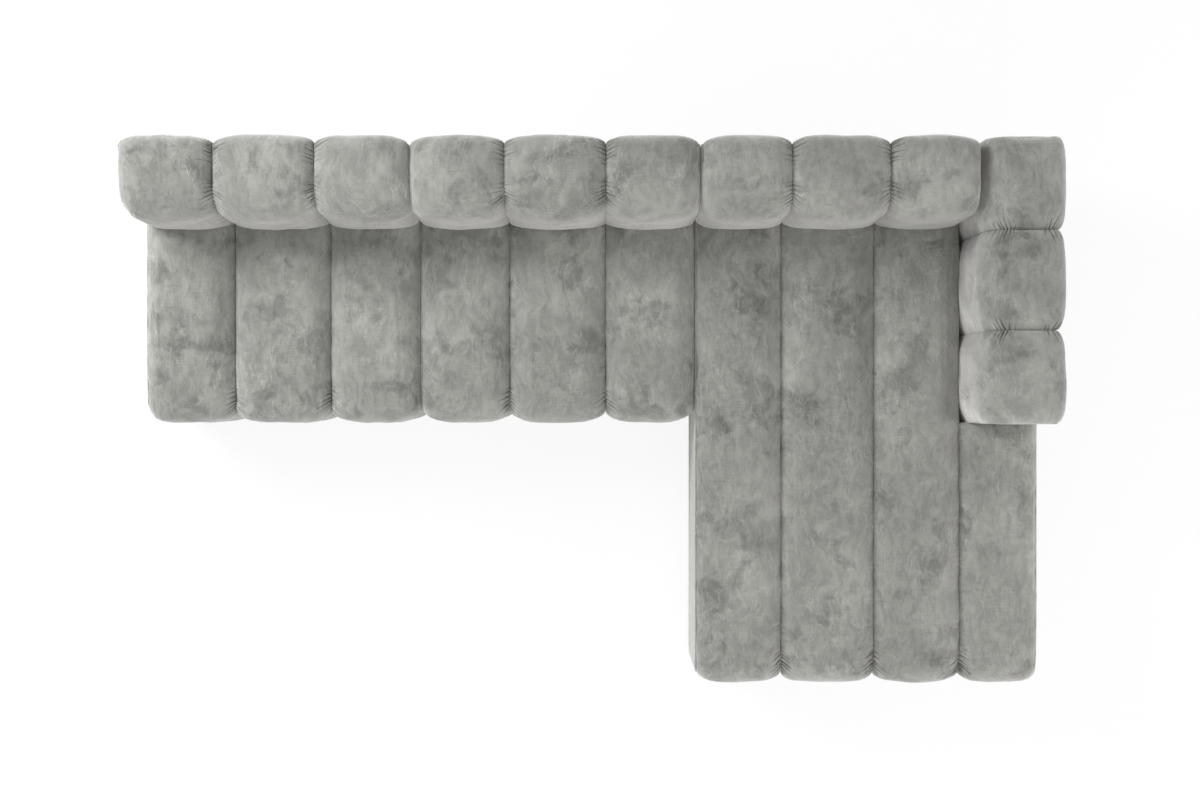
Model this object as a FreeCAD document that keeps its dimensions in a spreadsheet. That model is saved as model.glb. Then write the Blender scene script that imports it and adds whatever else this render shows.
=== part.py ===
"""Modular corner sofa: two armless modules and a chaise module with one arm, in millimetres.

+X runs to the right seen from the front, +Y to the back and +Z up. The origin is on the floor below
the middle of the whole sofa. Each module is drawn from its own left rear corner, so in a module x is 0
at its left side and y is 0 at its rear and falls towards the front.
"""
import FreeCAD, Part
import math
import os
import re
from types import SimpleNamespace

import Sketcher
from FreeCAD import Placement, Rotation, Vector

DRIVING = [
    ("module_width", 920, "width of an armless module"),
    ("module_depth", 910, "depth of an armless module and of the arm"),
    ("module_gap", 2, "gap between two modules"),
    ("chaise_seat_width", 888, "width of the chaise seat beside its arm"),
    ("chaise_depth", 1790, "depth of the chaise module"),
    ("arm_thick", 262, "thickness of the arm"),
    ("overall_height", 720, "height of the back and the arm"),
    ("seat_height", 425, "height of the seat's crown"),
    ("foot_height", 32, "height of a foot, and of the covers' lower edge"),
    ("back_thick", 268, "thickness of the back at the seat"),
    ("back_lean", 6, "how much thinner the back is below its front roll"),
    ("back_roll", 112, "radius of the roll at the back's front edge"),
    ("arm_roll", 60, "radius of the roll at the arm's inner edge"),
    ("outer_roll", 42, "radius of the roll at the back's rear and the arm's outer edge"),
    ("top_crown", 3, "rise of the top of a back or arm channel"),
    ("rear_pad", 44, "thickness of the cover at the rear and outside the arm"),
    ("front_pad", 95, "thickness of the back cover in front of its foam"),
    ("arm_pad", 60, "thickness of the arm cover on its seat side"),
    ("top_pad", 75, "thickness of the cover over the back and the arm"),
    ("seat_pad", 62, "thickness of the seat cover over its foam"),
    ("seat_front_pad", 72, "thickness of the seat cover in front of its rail"),
    ("seat_roll", 64, "radius of the roll at the seat's front edge"),
    ("seat_fall", 9, "how much the seat falls towards its front roll"),
    ("seat_fall_length", 140, "length over which the seat falls"),
    ("face_lean", 4, "how much the seat's front leans in at its lower edge"),
    ("hem_roll", 9, "radius at the seat front's lower edge"),
    ("channel_extra", 22, "how much wider a middle channel is than its neighbours"),
    ("back_seam_depth", 24, "depth of a seam in a back or arm cover"),
    ("outer_share", 0.8, "share of that depth at the rear and outside the arm"),
    ("seat_seam_depth", 28, "depth of a seam in a seat cover"),
    ("end_depth", 36, "how far a cover is drawn in at a free end"),
    ("channel_power", 7, "how late a channel's crown turns down to its seams"),
    ("soft_gap", 0.4, "gap between soft pieces that lie on each other"),
    ("rail_height", 140, "height of the base rails"),
    ("rail_thick", 38, "thickness of the base rails"),
    ("brace_height", 80, "height of the low rails under the springs"),
    ("post_thick", 38, "section of the posts and the top rails"),
    ("board_thick", 9, "thickness of the end boards"),
    ("deck_thick", 12, "thickness of the deck board beside the chaise springs"),
    ("dust_thick", 1.5, "thickness of the dust cover"),
    ("block_width", 60, "width of a corner block"),
    ("block_height", 55, "height of a corner block"),
    ("foot_top_radius", 24, "radius of a foot at its top"),
    ("foot_floor_radius", 20, "radius of a foot at the floor"),
    ("foot_bore_depth", 18, "depth of the bore for the screw's head in a foot"),
    ("foot_bore_radius", 7, "radius of that bore"),
    ("foot_screw_length", 42, "length of a foot screw below its head"),
    ("foot_screw_radius", 2.5, "radius of a foot screw"),
    ("foot_head_radius", 5.5, "radius of a foot screw's head"),
    ("foot_head_height", 3, "height of a foot screw's head"),
    ("head_top_share", 0.7, "a screw head's radius at its top, as a share of its radius"),
    ("pilot_extra", 1, "how much deeper a screw's hole is than the screw"),
    ("hole_clearance", 0.2, "gap round a screw in its hole"),
    ("spring_wire", 3.8, "diameter of the spring wire"),
    ("spring_bar", 50, "length of a straight bar of a zigzag spring"),
    ("spring_pitch", 36, "spacing of the bars along a zigzag spring"),
    ("spring_clearance", 0.2, "gap round the wire in its clip"),
    ("clip_length", 24, "length of a spring clip along the spring"),
    ("clip_width", 20, "width of a spring clip"),
    ("clip_thick", 1.2, "thickness of a spring clip"),
    ("clip_lip", 4, "how far the clip's upper leaf stops short of its mouth"),
    ("connector_height", 128, "height of the top of the pockets above the floor"),
    ("connector_inset", 190, "distance of a connector from the module's rear or front"),
    ("bracket_width", 84, "width of a hook's plate and of a pocket's flanges"),
    ("bracket_drop", 44, "height of a hook's plate and of a pocket"),
    ("hook_thick", 3, "thickness of a hook"),
    ("tongue_width", 36, "width of a hook's tongue"),
    ("tongue_length", 36, "length of a hook's tongue in its pocket"),
    ("tongue_play", 1, "gap before and behind a tongue in its pocket"),
    ("tongue_side_play", 3, "gap at each side of a tongue in its pocket"),
    ("pocket_sheet", 2.5, "thickness of a pocket's sheet"),
    ("lift_travel", 60, "how far a module lifts off its connectors"),
    ("connector_clearance", 4, "gap round the connectors in the end boards"),
    ("bracket_hole_spacing", 66, "spacing of a bracket's two screws"),
    ("bracket_screw_length", 26, "length of a bracket screw below its head"),
    ("bracket_screw_radius", 2.3, "radius of a bracket screw"),
    ("bracket_head_radius", 4.5, "radius of a bracket screw's head"),
    ("bracket_head_height", 2.2, "height of a bracket screw's head"),
]
CHANNELS = 3
SPRINGS = {"armless": 4, "chaise": 8}
POSTS = 3
BRACES = 2
BEARERS = 4
STATIONS = (-1, -0.93, -0.83, -0.65, -0.35, 0, 0.35, 0.65, 0.83, 0.93, 1)
VOLUME_SLACK = 0.01

doc = FreeCAD.newDocument("ModularCornerSofa")
sheet = doc.addObject("Spreadsheet::Sheet", "Sizes")
for row, (alias, amount, meaning) in enumerate(DRIVING, 1):
    sheet.set(f"A{row}", meaning)
    sheet.set(f"B{row}", str(amount))
    sheet.setAlias(f"B{row}", alias)
doc.recompute()
size = SimpleNamespace(**{alias: float(sheet.get(alias)) for alias, amount, meaning in DRIVING})

# Sums on the sheet that several pieces share
CHAISE_WIDTH = "(chaise_seat_width + arm_thick)"
OVERALL = f"(2 * module_width + 2 * module_gap + {CHAISE_WIDTH})"
MODULE_X = {
    "left": f"-{OVERALL} / 2",
    "middle": f"-{OVERALL} / 2 + module_width + module_gap",
    "chaise": f"-{OVERALL} / 2 + 2 * (module_width + module_gap)",
}
REAR_Y = "chaise_depth / 2"
RAIL_BOTTOM = "(foot_height + dust_thick)"
RAIL_TOP = f"({RAIL_BOTTOM} + rail_height)"
CLIP_HEIGHT = "(spring_wire + spring_clearance + 2 * clip_thick)"
FOAM_BOTTOM = f"({RAIL_TOP} + {CLIP_HEIGHT} + soft_gap)"
FOAM_TOP = "(seat_height - seat_pad)"
CORE_TOP = "(overall_height - top_pad)"
CORE_FRONT = "(-back_thick + front_pad)"
RAIL_REAR = "(-rear_pad - rail_thick)"
POST_FRONT = "(-rear_pad - post_thick)"
ARM_CORE_LEFT = "(chaise_seat_width + arm_pad)"
ARM_CORE_RIGHT = f"({CHAISE_WIDTH} - rear_pad)"
RAIL_GAP = "(2 * board_thick + module_gap)"
POCKET_DEPTH = "(hook_thick + 2 * tongue_play)"

nodes = []


def linked(text):
    """The same sum with each word read from the sheet."""
    return re.sub(r"[a-z]\w*", lambda word: "Sizes." + word.group(), text)


def bind(piece, sums):
    """Tie properties of a piece to sums on the sheet."""
    for name, text in sums.items():
        piece.setExpression(name, linked(text))


def place(piece, corner):
    """Tie a piece's place to three sums."""
    bind(piece, {f"Placement.Base.{axis}": text for axis, text in zip("xyz", corner)})


def box(name, corner, extent):
    """A rectangular piece from its lowest corner and its three sizes."""
    piece = doc.addObject("Part::Box", name)
    bind(piece, dict(zip(("Length", "Width", "Height"), extent)))
    place(piece, corner)
    return piece


def copy_of(master, name, corner, turn=Rotation()):
    """One more of a piece, turned and then placed."""
    link = doc.addObject("App::Link", name)
    link.LinkedObject = master
    link.Placement = Placement(Vector(), turn)
    place(link, corner)
    return link


def group(name, pieces):
    """Separate solids kept together."""
    together = doc.addObject("Part::Compound", name)
    together.Links = pieces
    return together


def cut(name, piece, tools):
    """A piece with others cut out of it."""
    rest = doc.addObject("Part::Cut", name)
    rest.Base = piece
    rest.Tool = group(name + "_tools", tools)
    return rest


def node(module, name, pieces):
    """A finished sub-part of one module, at that module's place."""
    label = f"{module}_{name}"
    finished = group(label, pieces)
    finished.Label = label
    place(finished, (MODULE_X[module], REAR_Y, "0"))
    nodes.append(finished)


def sketch_on(body, role, name):
    """A sketch on one of the body's own origin planes."""
    sketch = body.newObject("Sketcher::SketchObject", name)
    plane = next(feature for feature in body.Origin.OriginFeatures if feature.Role == role)
    sketch.AttachmentSupport = (plane, [""])
    sketch.MapMode = "FlatFace"
    return sketch


def pin_point(sketch, line, across, up, start):
    """Hold the start of a line at two sums from the sketch's origin."""
    for kind, axis, text, rough in (("DistanceX", -2, across, start.x), ("DistanceY", -1, up, start.y)):
        if text == "0":
            sketch.addConstraint(Sketcher.Constraint("PointOnObject", line, 1, axis))
        else:
            index = sketch.addConstraint(Sketcher.Constraint(kind, -1, 1, line, 1, rough))
            sketch.setExpression(f"Constraints[{index}]", linked(text))


def polygon(sketch, corners):
    """A closed outline of straight lines, each corner two sums from the sketch's origin."""
    # The corners start at rough places, no two alike, and the constraints then move them
    rough = [Vector(10 + 7 * turn, 5 + 3 * turn * turn, 0) for turn in range(len(corners))]
    for index, start in enumerate(rough):
        sketch.addGeometry(Part.LineSegment(start, rough[(index + 1) % len(rough)]), False)
    for index in range(len(rough)):
        sketch.addConstraint(Sketcher.Constraint("Coincident", index, 2, (index + 1) % len(rough), 1))
    for index, (across, up) in enumerate(corners):
        pin_point(sketch, index, across, up, rough[index])


def circle(sketch, across, up, radius):
    """A circle two sums from the sketch's origin."""
    rough = Vector(10, 10, 0)
    index = sketch.addGeometry(Part.Circle(rough, Vector(0, 0, 1), 5), False)
    for kind, axis, text in (("DistanceX", -2, across), ("DistanceY", -1, up)):
        if text == "0":
            sketch.addConstraint(Sketcher.Constraint("PointOnObject", index, 3, axis))
        else:
            held = sketch.addConstraint(Sketcher.Constraint(kind, -1, 1, index, 3, 10))
            sketch.setExpression(f"Constraints[{held}]", linked(text))
    held = sketch.addConstraint(Sketcher.Constraint("Radius", index, 5))
    sketch.setExpression(f"Constraints[{held}]", linked(radius))


def pad(body, role, name, corners, length, midplane=True):
    """Add the pad of a straight-sided outline to a body."""
    profile = sketch_on(body, role, name + "_outline")
    polygon(profile, corners)
    feature = body.newObject("PartDesign::Pad", name)
    feature.Profile = profile
    feature.Midplane = midplane
    bind(feature, {"Length": length})
    return feature


def turned(name, corners):
    """A round piece turned about the vertical from half its section."""
    body = doc.addObject("PartDesign::Body", name)
    profile = sketch_on(body, "XZ_Plane", name + "_section")
    polygon(profile, corners)
    feature = body.newObject("PartDesign::Revolution", name + "_turn")
    feature.Profile = profile
    feature.ReferenceAxis = (profile, ["V_Axis"])
    feature.Angle = 360
    return body


def drill(body, name, spots, radius):
    """Holes through a body along its x axis, at (y, z) sums."""
    profile = sketch_on(body, "YZ_Plane", name + "_circles")
    for across, up in spots:
        circle(profile, across, up, radius)
    feature = body.newObject("PartDesign::Pocket", name)
    feature.Profile = profile
    feature.Type = "ThroughAll"
    feature.Midplane = True


# Feet and screws

FOOT = turned("foot", [
    ("foot_bore_radius", "0"),
    ("foot_floor_radius", "0"),
    ("foot_top_radius", "foot_height"),
    ("foot_screw_radius + hole_clearance", "foot_height"),
    ("foot_screw_radius + hole_clearance", "foot_bore_depth"),
    ("foot_bore_radius", "foot_bore_depth"),
])


def screw(kind):
    """A pan-head screw pointing down, with the underside of its head at its origin."""
    return turned(f"{kind}_screw", [
        ("0", f"-{kind}_screw_length"),
        (f"{kind}_screw_radius / 2", f"-{kind}_screw_length"),
        (f"{kind}_screw_radius", f"-{kind}_screw_length + 2 * {kind}_screw_radius"),
        (f"{kind}_screw_radius", "0"),
        (f"{kind}_head_radius", "0"),
        (f"{kind}_head_radius", f"{kind}_head_height / 2"),
        (f"{kind}_head_radius * head_top_share", f"{kind}_head_height"),
        ("0", f"{kind}_head_height"),
    ])


def pilot(kind):
    """The hole that such a screw needs, from its head's underside down."""
    hole = doc.addObject("Part::Cylinder", f"{kind}_pilot")
    deep = f"{kind}_screw_length + pilot_extra"
    bind(hole, {"Radius": f"{kind}_screw_radius + hole_clearance", "Height": deep})
    bind(hole, {"Placement.Base.z": f"-({deep})"})
    return group(f"{kind}_pilot_hole", [hole])


FOOT_SCREW = screw("foot")
FOOT_PILOT = pilot("foot")
BRACKET_SCREW = screw("bracket")
BRACKET_PILOT = pilot("bracket")
UPSIDE_DOWN = Rotation(Vector(1, 0, 0), 180)


def footing(module, blocks):
    """Corner blocks with a foot screwed under the middle of each, from the blocks' low corners."""
    centres = [(f"{x} + block_width / 2", f"{y} + block_width / 2") for x, y in blocks]
    tag = f"{module}_foot"
    pilots = [copy_of(FOOT_PILOT, f"{tag}_pilot_{spot}", (x, y, "foot_bore_depth"), UPSIDE_DOWN)
              for spot, (x, y) in enumerate(centres, 1)]
    side = ("block_width", "block_width", "block_height")
    wood = [box(f"{module}_block_{spot}", (x, y, RAIL_BOTTOM), side) for spot, (x, y) in enumerate(blocks, 1)]
    drilled = [cut(f"{module}_drilled_block_{spot}", block, [hole])
               for spot, (block, hole) in enumerate(zip(wood, pilots), 1)]
    node(module, "corner_blocks", drilled)
    node(module, "feet", [copy_of(FOOT, f"{tag}_{spot}", (x, y, "0"))
                          for spot, (x, y) in enumerate(centres, 1)])
    node(module, "foot_screws", [copy_of(FOOT_SCREW, f"{tag}_screw_{spot}", (x, y, "foot_bore_depth"),
                                         UPSIDE_DOWN) for spot, (x, y) in enumerate(centres, 1)])
    return pilots


# Drop-in connectors: a hook's tongue hangs in a pocket on the neighbour's rail


def hook_body():
    """A steel hook drawn on a rail face at x 0, reaching out to +x, its step at z 0."""
    body = doc.addObject("PartDesign::Body", "hook")
    near, far = f"{RAIL_GAP} - tongue_play - hook_thick", f"{RAIL_GAP} - tongue_play"
    pad(body, "XZ_Plane", "hook_plate", [
        ("0", "-bracket_drop"),
        ("hook_thick", "-bracket_drop"),
        ("hook_thick", "hook_thick"),
        ("0", "hook_thick"),
    ], "bracket_width")
    pad(body, "XZ_Plane", "hook_tongue", [
        ("0", "0"),
        (near, "0"),
        (near, "-tongue_length"),
        (far, "-tongue_length"),
        (far, "hook_thick"),
        ("0", "hook_thick"),
    ], "tongue_width")
    spots = [(f"{sign}bracket_hole_spacing / 2", "-bracket_drop / 2") for sign in ("-", "")]
    drill(body, "hook_holes", spots, "bracket_screw_radius + hole_clearance")
    return body


def pocket_body():
    """A steel pocket drawn on a rail face at x 0, open upwards, its top at z 0."""
    body = doc.addObject("PartDesign::Body", "pocket")
    flange = "bracket_width / 2"
    inner = "(tongue_width / 2 + tongue_side_play)"
    outer = f"({inner} + pocket_sheet)"
    front = f"({POCKET_DEPTH} + pocket_sheet)"
    pad(body, "XY_Plane", "pocket_sheet", [
        ("0", f"-{flange}"),
        ("0", f"-{inner}"),
        (POCKET_DEPTH, f"-{inner}"),
        (POCKET_DEPTH, inner),
        ("0", inner),
        ("0", flange),
        ("pocket_sheet", flange),
        ("pocket_sheet", outer),
        (front, outer),
        (front, f"-{outer}"),
        ("pocket_sheet", f"-{outer}"),
        ("pocket_sheet", f"-{flange}"),
    ], "bracket_drop", midplane=False)
    spots = [(f"{sign}bracket_hole_spacing / 2", "bracket_drop / 2") for sign in ("-", "")]
    drill(body, "pocket_holes", spots, "bracket_screw_radius + hole_clearance")
    return body


HOOK = hook_body()
POCKET = pocket_body()
CONNECTOR_Y = {"front": "(-module_depth + connector_inset)", "rear": "-connector_inset"}
OUTWARD = {"right": Rotation(), "left": Rotation(Vector(0, 0, 1), 180)}
SCREW_TURN = {
    "right": Rotation(Vector(0, 0, 1), Vector(1, 0, 0)),
    "left": Rotation(Vector(0, 0, 1), Vector(-1, 0, 0)),
}
BRACKETS = {
    "hook": (HOOK, "connector_height", "hook_thick"),
    "pocket": (POCKET, "connector_height - bracket_drop - soft_gap", "pocket_sheet"),
}


def connectors(module, kind, faces):
    """Brackets and their screws on the rail faces at sides {side: x}; returns the rails' pilot holes."""
    master, height, thick = BRACKETS[kind]
    brackets, screws, pilots = [], [], []
    middle = {"hook": "-bracket_drop / 2", "pocket": "bracket_drop / 2"}[kind]
    for side, face in faces.items():
        sign = {"right": "+", "left": "-"}[side]
        for end, along in CONNECTOR_Y.items():
            tag = f"{module}_{side}_{end}"
            brackets.append(copy_of(master, f"{tag}_{kind}", (face, along, height), OUTWARD[side]))
            for shift in ("-", "+"):
                spot = (f"{face} {sign} {thick}", f"{along} {shift} bracket_hole_spacing / 2",
                        f"{height} + {middle}")
                name = f"{tag}_{'first' if shift == '-' else 'second'}"
                screws.append(copy_of(BRACKET_SCREW, name + "_screw", spot, SCREW_TURN[side]))
                pilots.append(copy_of(BRACKET_PILOT, name + "_pilot", spot, SCREW_TURN[side]))
    node(module, f"{kind}s", brackets)
    node(module, "connector_screws", screws)
    return pilots


def connector_windows(module, side, corner_x):
    """What is cut from an end board to let the connectors meet and lift apart."""
    low = "(connector_height - bracket_drop - soft_gap - connector_clearance)"
    wide = "(bracket_width + 2 * connector_clearance)"
    high = f"(connector_height + hook_thick + lift_travel + connector_clearance - {low})"
    return [box(f"{module}_{side}_{end}_window", (corner_x, f"{along} - {wide} / 2", low),
                ("board_thick", wide, high)) for end, along in CONNECTOR_Y.items()]


# Springs and their clips


def clip_body():
    """A folded steel clip on a rail top, its mouth towards -x and its closed end towards +x."""
    body = doc.addObject("PartDesign::Body", "clip")
    pad(body, "XZ_Plane", "clip_fold", [
        ("0", "0"),
        ("clip_length", "0"),
        ("clip_length", CLIP_HEIGHT),
        ("clip_lip", CLIP_HEIGHT),
        ("clip_lip", f"{CLIP_HEIGHT} - clip_thick"),
        ("clip_length - clip_thick", f"{CLIP_HEIGHT} - clip_thick"),
        ("clip_length - clip_thick", "clip_thick"),
        ("0", "clip_thick"),
    ], "clip_width")
    return body


CLIP = clip_body()
CLIP_TURN = {"+x": 0, "+y": 90, "-x": 180, "-y": 270}


def zigzag(span):
    """A zigzag spring along +x between its two end bars, one unbroken wire."""
    gaps = round(span / size.spring_pitch)
    pitch = span / gaps
    half = size.spring_bar / 2
    bend = pitch / 2
    side = -half
    path = []
    for bar in range(gaps + 1):
        at = bar * pitch
        path.append(Part.LineSegment(Vector(at, side, 0), Vector(at, -side, 0)))
        side = -side
        if bar == gaps:
            break
        out = math.copysign(1, side)
        top = Vector(at + bend, side + out * bend, 0)
        for start, end, angle in ((Vector(at, side, 0), top, 0.75), (top, Vector(at + pitch, side, 0), 0.25)):
            middle = Vector(at + bend + bend * math.cos(angle * math.pi),
                            side + out * bend * math.sin(angle * math.pi), 0)
            path.append(Part.Arc(start, middle, end))
    wire = Part.Wire([piece.toShape() for piece in path])
    section = Part.Wire(Part.makeCircle(size.spring_wire / 2, Vector(0, -half, 0), Vector(0, 1, 0)))
    spring = wire.makePipeShell([section], True, False)
    expected = wire.Length * math.pi * (size.spring_wire / 2) ** 2
    if not math.isclose(spring.Volume, expected, rel_tol=VOLUME_SLACK):
        raise ValueError(f"spring volume {spring.Volume:.0f} against {expected:.0f}")
    return spring


def springs(module, count, along, low_edge, high_edge, side_low, side_high):
    """Zigzag springs between two rails' inner edges, spread evenly between two sides, with clips."""
    reach = number("clip_length - clip_thick - (spring_wire + spring_clearance) / 2")
    lift = number(f"{RAIL_TOP} + {CLIP_HEIGHT} / 2")
    low, high, near, far = (number(text) for text in (low_edge, high_edge, side_low, side_high))
    wire = zigzag(high - low + 2 * reach)
    wires, clips = [], []
    for spot in range(count):
        share = f"{2 * spot + 1} / {2 * count}"
        across = near + (far - near) * (2 * spot + 1) / (2 * count)
        start = Vector(low - reach, across, lift) if along == "x" else Vector(across, low - reach, lift)
        turn = Rotation(Vector(0, 0, 1), 0 if along == "x" else 90)
        wires.append(wire.transformed(Placement(start, turn).toMatrix()))
        across_text = f"({side_low}) + (({side_high}) - ({side_low})) * {share}"
        for end, edge in (("-", low_edge), ("+", high_edge)):
            corner = (edge, across_text, RAIL_TOP) if along == "x" else (across_text, edge, RAIL_TOP)
            angle = Rotation(Vector(0, 0, 1), CLIP_TURN[end + along])
            clips.append(copy_of(CLIP, f"{module}_clip_{spot + 1}_{'low' if end == '-' else 'high'}",
                                 corner, angle))
    feature = doc.addObject("Part::Feature", f"{module}_wires")
    feature.Shape = Part.makeCompound(wires)
    node(module, "seat_springs", [feature])
    node(module, "spring_clips", clips)


def number(text):
    """What a sum on the sheet comes to, read from a point placed by it."""
    probe = doc.addObject("Part::Vertex", "probe")
    bind(probe, {"X": text})
    probe.recompute()
    amount = probe.X.Value
    doc.removeObject(probe.Name)
    return amount


# Wooden frames


def inner_length(depth):
    """Distance between the front rail's and the rear rail's inner faces."""
    return f"({depth} - seat_front_pad - rail_thick + {RAIL_REAR})"


def front_inner(depth):
    """The front rail's inner face."""
    return f"(-{depth} + seat_front_pad + rail_thick)"


def long_rails(module, depth, right):
    """The front rail and the rear rail, up to x right."""
    extent = (f"{right} - board_thick", "rail_thick", "rail_height")
    front = box(f"{module}_front", ("board_thick", f"-{depth} + seat_front_pad", RAIL_BOTTOM), extent)
    node(module, "base_front_rail", [front])
    rear = box(f"{module}_rear", ("board_thick", RAIL_REAR, RAIL_BOTTOM), extent)
    node(module, "base_rear_rail", [rear])


def side_rail(name, depth, left, height="rail_height"):
    """A base rail from front to back with its left side at x left."""
    return box(name, (left, front_inner(depth), RAIL_BOTTOM), ("rail_thick", inner_length(depth), height))


def upright_frame(name, low, reach, along, across):
    """Posts on a base rail, spread over a reach along one axis, and the rail on top of them."""
    spacing = f"({reach} - post_thick) / {POSTS - 1}"
    tall = f"{CORE_TOP} - post_thick - {RAIL_TOP}"
    pieces = []
    for post in range(POSTS):
        step = f"{low} + {post} * {spacing}"
        corner = (step, across, RAIL_TOP) if along == "x" else (across, step, RAIL_TOP)
        pieces.append(box(f"{name}_post_{post + 1}", corner, ("post_thick", "post_thick", tall)))
    top = f"{CORE_TOP} - post_thick"
    corner = (low, across, top) if along == "x" else (across, low, top)
    extent = (reach, "post_thick", "post_thick") if along == "x" else ("post_thick", reach, "post_thick")
    return pieces + [box(f"{name}_top", corner, extent)]


def end_board(module, side, left, depth, windows):
    """The two boards that close a module's side: one beside the seat, one beside the back."""
    low = box(f"{module}_{side}_seat_board", (left, f"-{depth} + seat_front_pad", RAIL_BOTTOM),
              ("board_thick", f"{depth} - seat_front_pad - rear_pad", f"{FOAM_TOP} - {RAIL_BOTTOM}"))
    if windows:
        low = cut(f"{module}_{side}_cut_board", low, connector_windows(module, side, left))
    high = box(f"{module}_{side}_back_board", (left, CORE_FRONT, FOAM_TOP),
               ("board_thick", f"-rear_pad - {CORE_FRONT}", f"{CORE_TOP} - {FOAM_TOP}"))
    return [low, high]


def dust_cover(module, depth, right, pilots):
    """The thin sheet under a module, with a hole for each foot screw."""
    cloth = box(f"{module}_dust", ("0", f"-{depth} + seat_front_pad", "foot_height"),
                (right, f"{depth} - seat_front_pad - rear_pad", "dust_thick"))
    node(module, "dust_cover", [cut(f"{module}_holed_dust", cloth, pilots)])


def back_foam(module, right):
    """The foam block between the back's posts and its cover."""
    block = box(f"{module}_back_block", ("board_thick", CORE_FRONT, FOAM_TOP),
                (f"{right} - board_thick", f"{POST_FRONT} - {CORE_FRONT}", f"{CORE_TOP} - {FOAM_TOP}"))
    node(module, "back_foam", [block])


# Channelled covers: each channel swells between its seams


def around(centre, radius, degrees):
    """The point of a circle at an angle."""
    angle = math.radians(degrees)
    return (centre[0] + radius * math.cos(angle), centre[1] + radius * math.sin(angle))


def wrap_outline(draw, thick, lean, roll, near_core, near_bottom):
    """Section of a channel that goes over a back or an arm, as its start and its lines and arcs.

    The first coordinate is 0 at the outer side and falls towards the seat, the second is the height.
    """
    top = size.overall_height - draw
    shoulder = top - size.top_crown
    outer = size.outer_roll
    far = -draw * size.outer_share
    near = -thick + draw
    upper = near + lean
    floor = size.foot_height
    core_top = number(CORE_TOP)
    steps = [
        [(far, shoulder - outer)],
        [around((far - outer, shoulder - outer), outer, 45), (far - outer, shoulder)],
        [((far - outer + upper + roll) / 2, top), (upper + roll, shoulder)],
        [around((upper + roll, shoulder - roll), roll, 135), (upper, shoulder - roll)],
        [(near, near_bottom)],
        [(near_core, near_bottom)],
        [(near_core, core_top)],
        [(-size.rear_pad, core_top)],
        [(-size.rear_pad, floor)],
    ]
    return (far, floor), steps


def seat_outline(draw, depth, rear):
    """Section of a seat channel, from the back over the front edge to the hem."""
    top = size.seat_height - draw
    front = -depth + draw
    roll = size.seat_roll
    lip = top - size.seat_fall
    fall_start = -depth + roll + size.seat_fall_length
    hem = size.hem_roll
    floor = size.foot_height
    hem_front = front + size.face_lean
    foam_top = number(FOAM_TOP)
    foam_front = -depth + size.seat_front_pad
    steps = [
        [(fall_start, top)],
        [((fall_start + front + roll) / 2, top - size.seat_fall / 3), (front + roll, lip)],
        [around((front + roll, lip - roll), roll, 135), (front, lip - roll)],
        [(hem_front, floor + hem)],
        [around((hem_front + hem, floor + hem), hem, 225), (hem_front + hem, floor)],
        [(foam_front, floor)],
        [(foam_front, foam_top)],
        [(rear, foam_top)],
    ]
    return (rear, top), steps


def wire_of(outline, to_space):
    """A closed wire in space from a section's start and steps."""
    start, steps = outline
    here = start
    edges = []
    for step in steps + [[start]]:
        points = [to_space(*point) for point in [here] + step]
        piece = Part.LineSegment(*points) if len(points) == 2 else Part.Arc(*points)
        edges.append(piece.toShape())
        here = step[-1]
    return Part.Wire(edges)


def drawn_in(station, cover, edge):
    """How far a channel's surface is drawn in at a station from -1 to 1 across it."""
    seam_depth = {"back": size.back_seam_depth, "seat": size.seat_seam_depth}[cover]
    depth = seam_depth if edge == "seam" else size.end_depth
    return depth * abs(station) ** size.channel_power


def channel_edges(total):
    """Where the seams of a three-channel cover lie, the middle channel a little wider."""
    side = (total - size.channel_extra) / CHANNELS
    return [0, side, total - side, total]


def channels(places, edges, outline_at, to_space_at):
    """Channels side by side, each a closed solid lofted from one edge, a seam or an end, to the next."""
    lofts = []
    for low, high, low_edge, high_edge in zip(places, places[1:], edges, edges[1:]):
        wires = []
        for station in STATIONS:
            at = low + (high - low) * (1 + station) / 2
            outline = outline_at(station, low_edge if station < 0 else high_edge)
            wires.append(wire_of(outline, to_space_at(at)))
        lofts.append(Part.makeLoft(wires, True))
    return lofts


def sewn(module, name, lofts):
    """A cover of padded channels, which meet face to face at their seams."""
    feature = doc.addObject("Part::Feature", f"{module}_{name}_form")
    feature.Shape = Part.makeCompound(lofts)
    node(module, name, [feature])


def across_module(at):
    """Sections across x: the section's first coordinate is y."""
    return lambda inward, height: Vector(at, inward, height)


def along_arm(at):
    """Sections along the arm from the rear: the section's first coordinate is measured from its outside."""
    outside = size.chaise_seat_width + size.arm_thick
    return lambda inward, height: Vector(outside + inward, -at, height)


def seat_channels(width, depth, ends):
    """The channels of a seat as wide as the back behind it."""
    rear = number(CORE_FRONT)

    def outline(station, edge):
        return seat_outline(drawn_in(station, "seat", edge), depth, rear)

    return channels(channel_edges(width), [ends[0], "seam", "seam", ends[1]], outline, across_module)


def back_channels(width, ends):
    """The channels of a back, standing on the seat's channels."""
    core = number(CORE_FRONT)

    def outline(station, edge):
        seat_top = size.seat_height - drawn_in(station, "seat", edge)
        return wrap_outline(drawn_in(station, "back", edge), size.back_thick, size.back_lean, size.back_roll,
                            core, seat_top + size.soft_gap)

    return channels(channel_edges(width), [ends[0], "seam", "seam", ends[1]], outline, across_module)


def arm_channels():
    """The three channels of the arm from the rear corner to its front."""
    bottom = number(FOAM_BOTTOM)
    thick = size.arm_thick - size.soft_gap
    core = size.arm_pad - size.arm_thick

    def outline(station, edge):
        return wrap_outline(drawn_in(station, "back", edge), thick, 0, size.arm_roll, core, bottom)

    return channels(channel_edges(size.module_depth), ["end", "seam", "seam", "end"], outline, along_arm)


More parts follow.
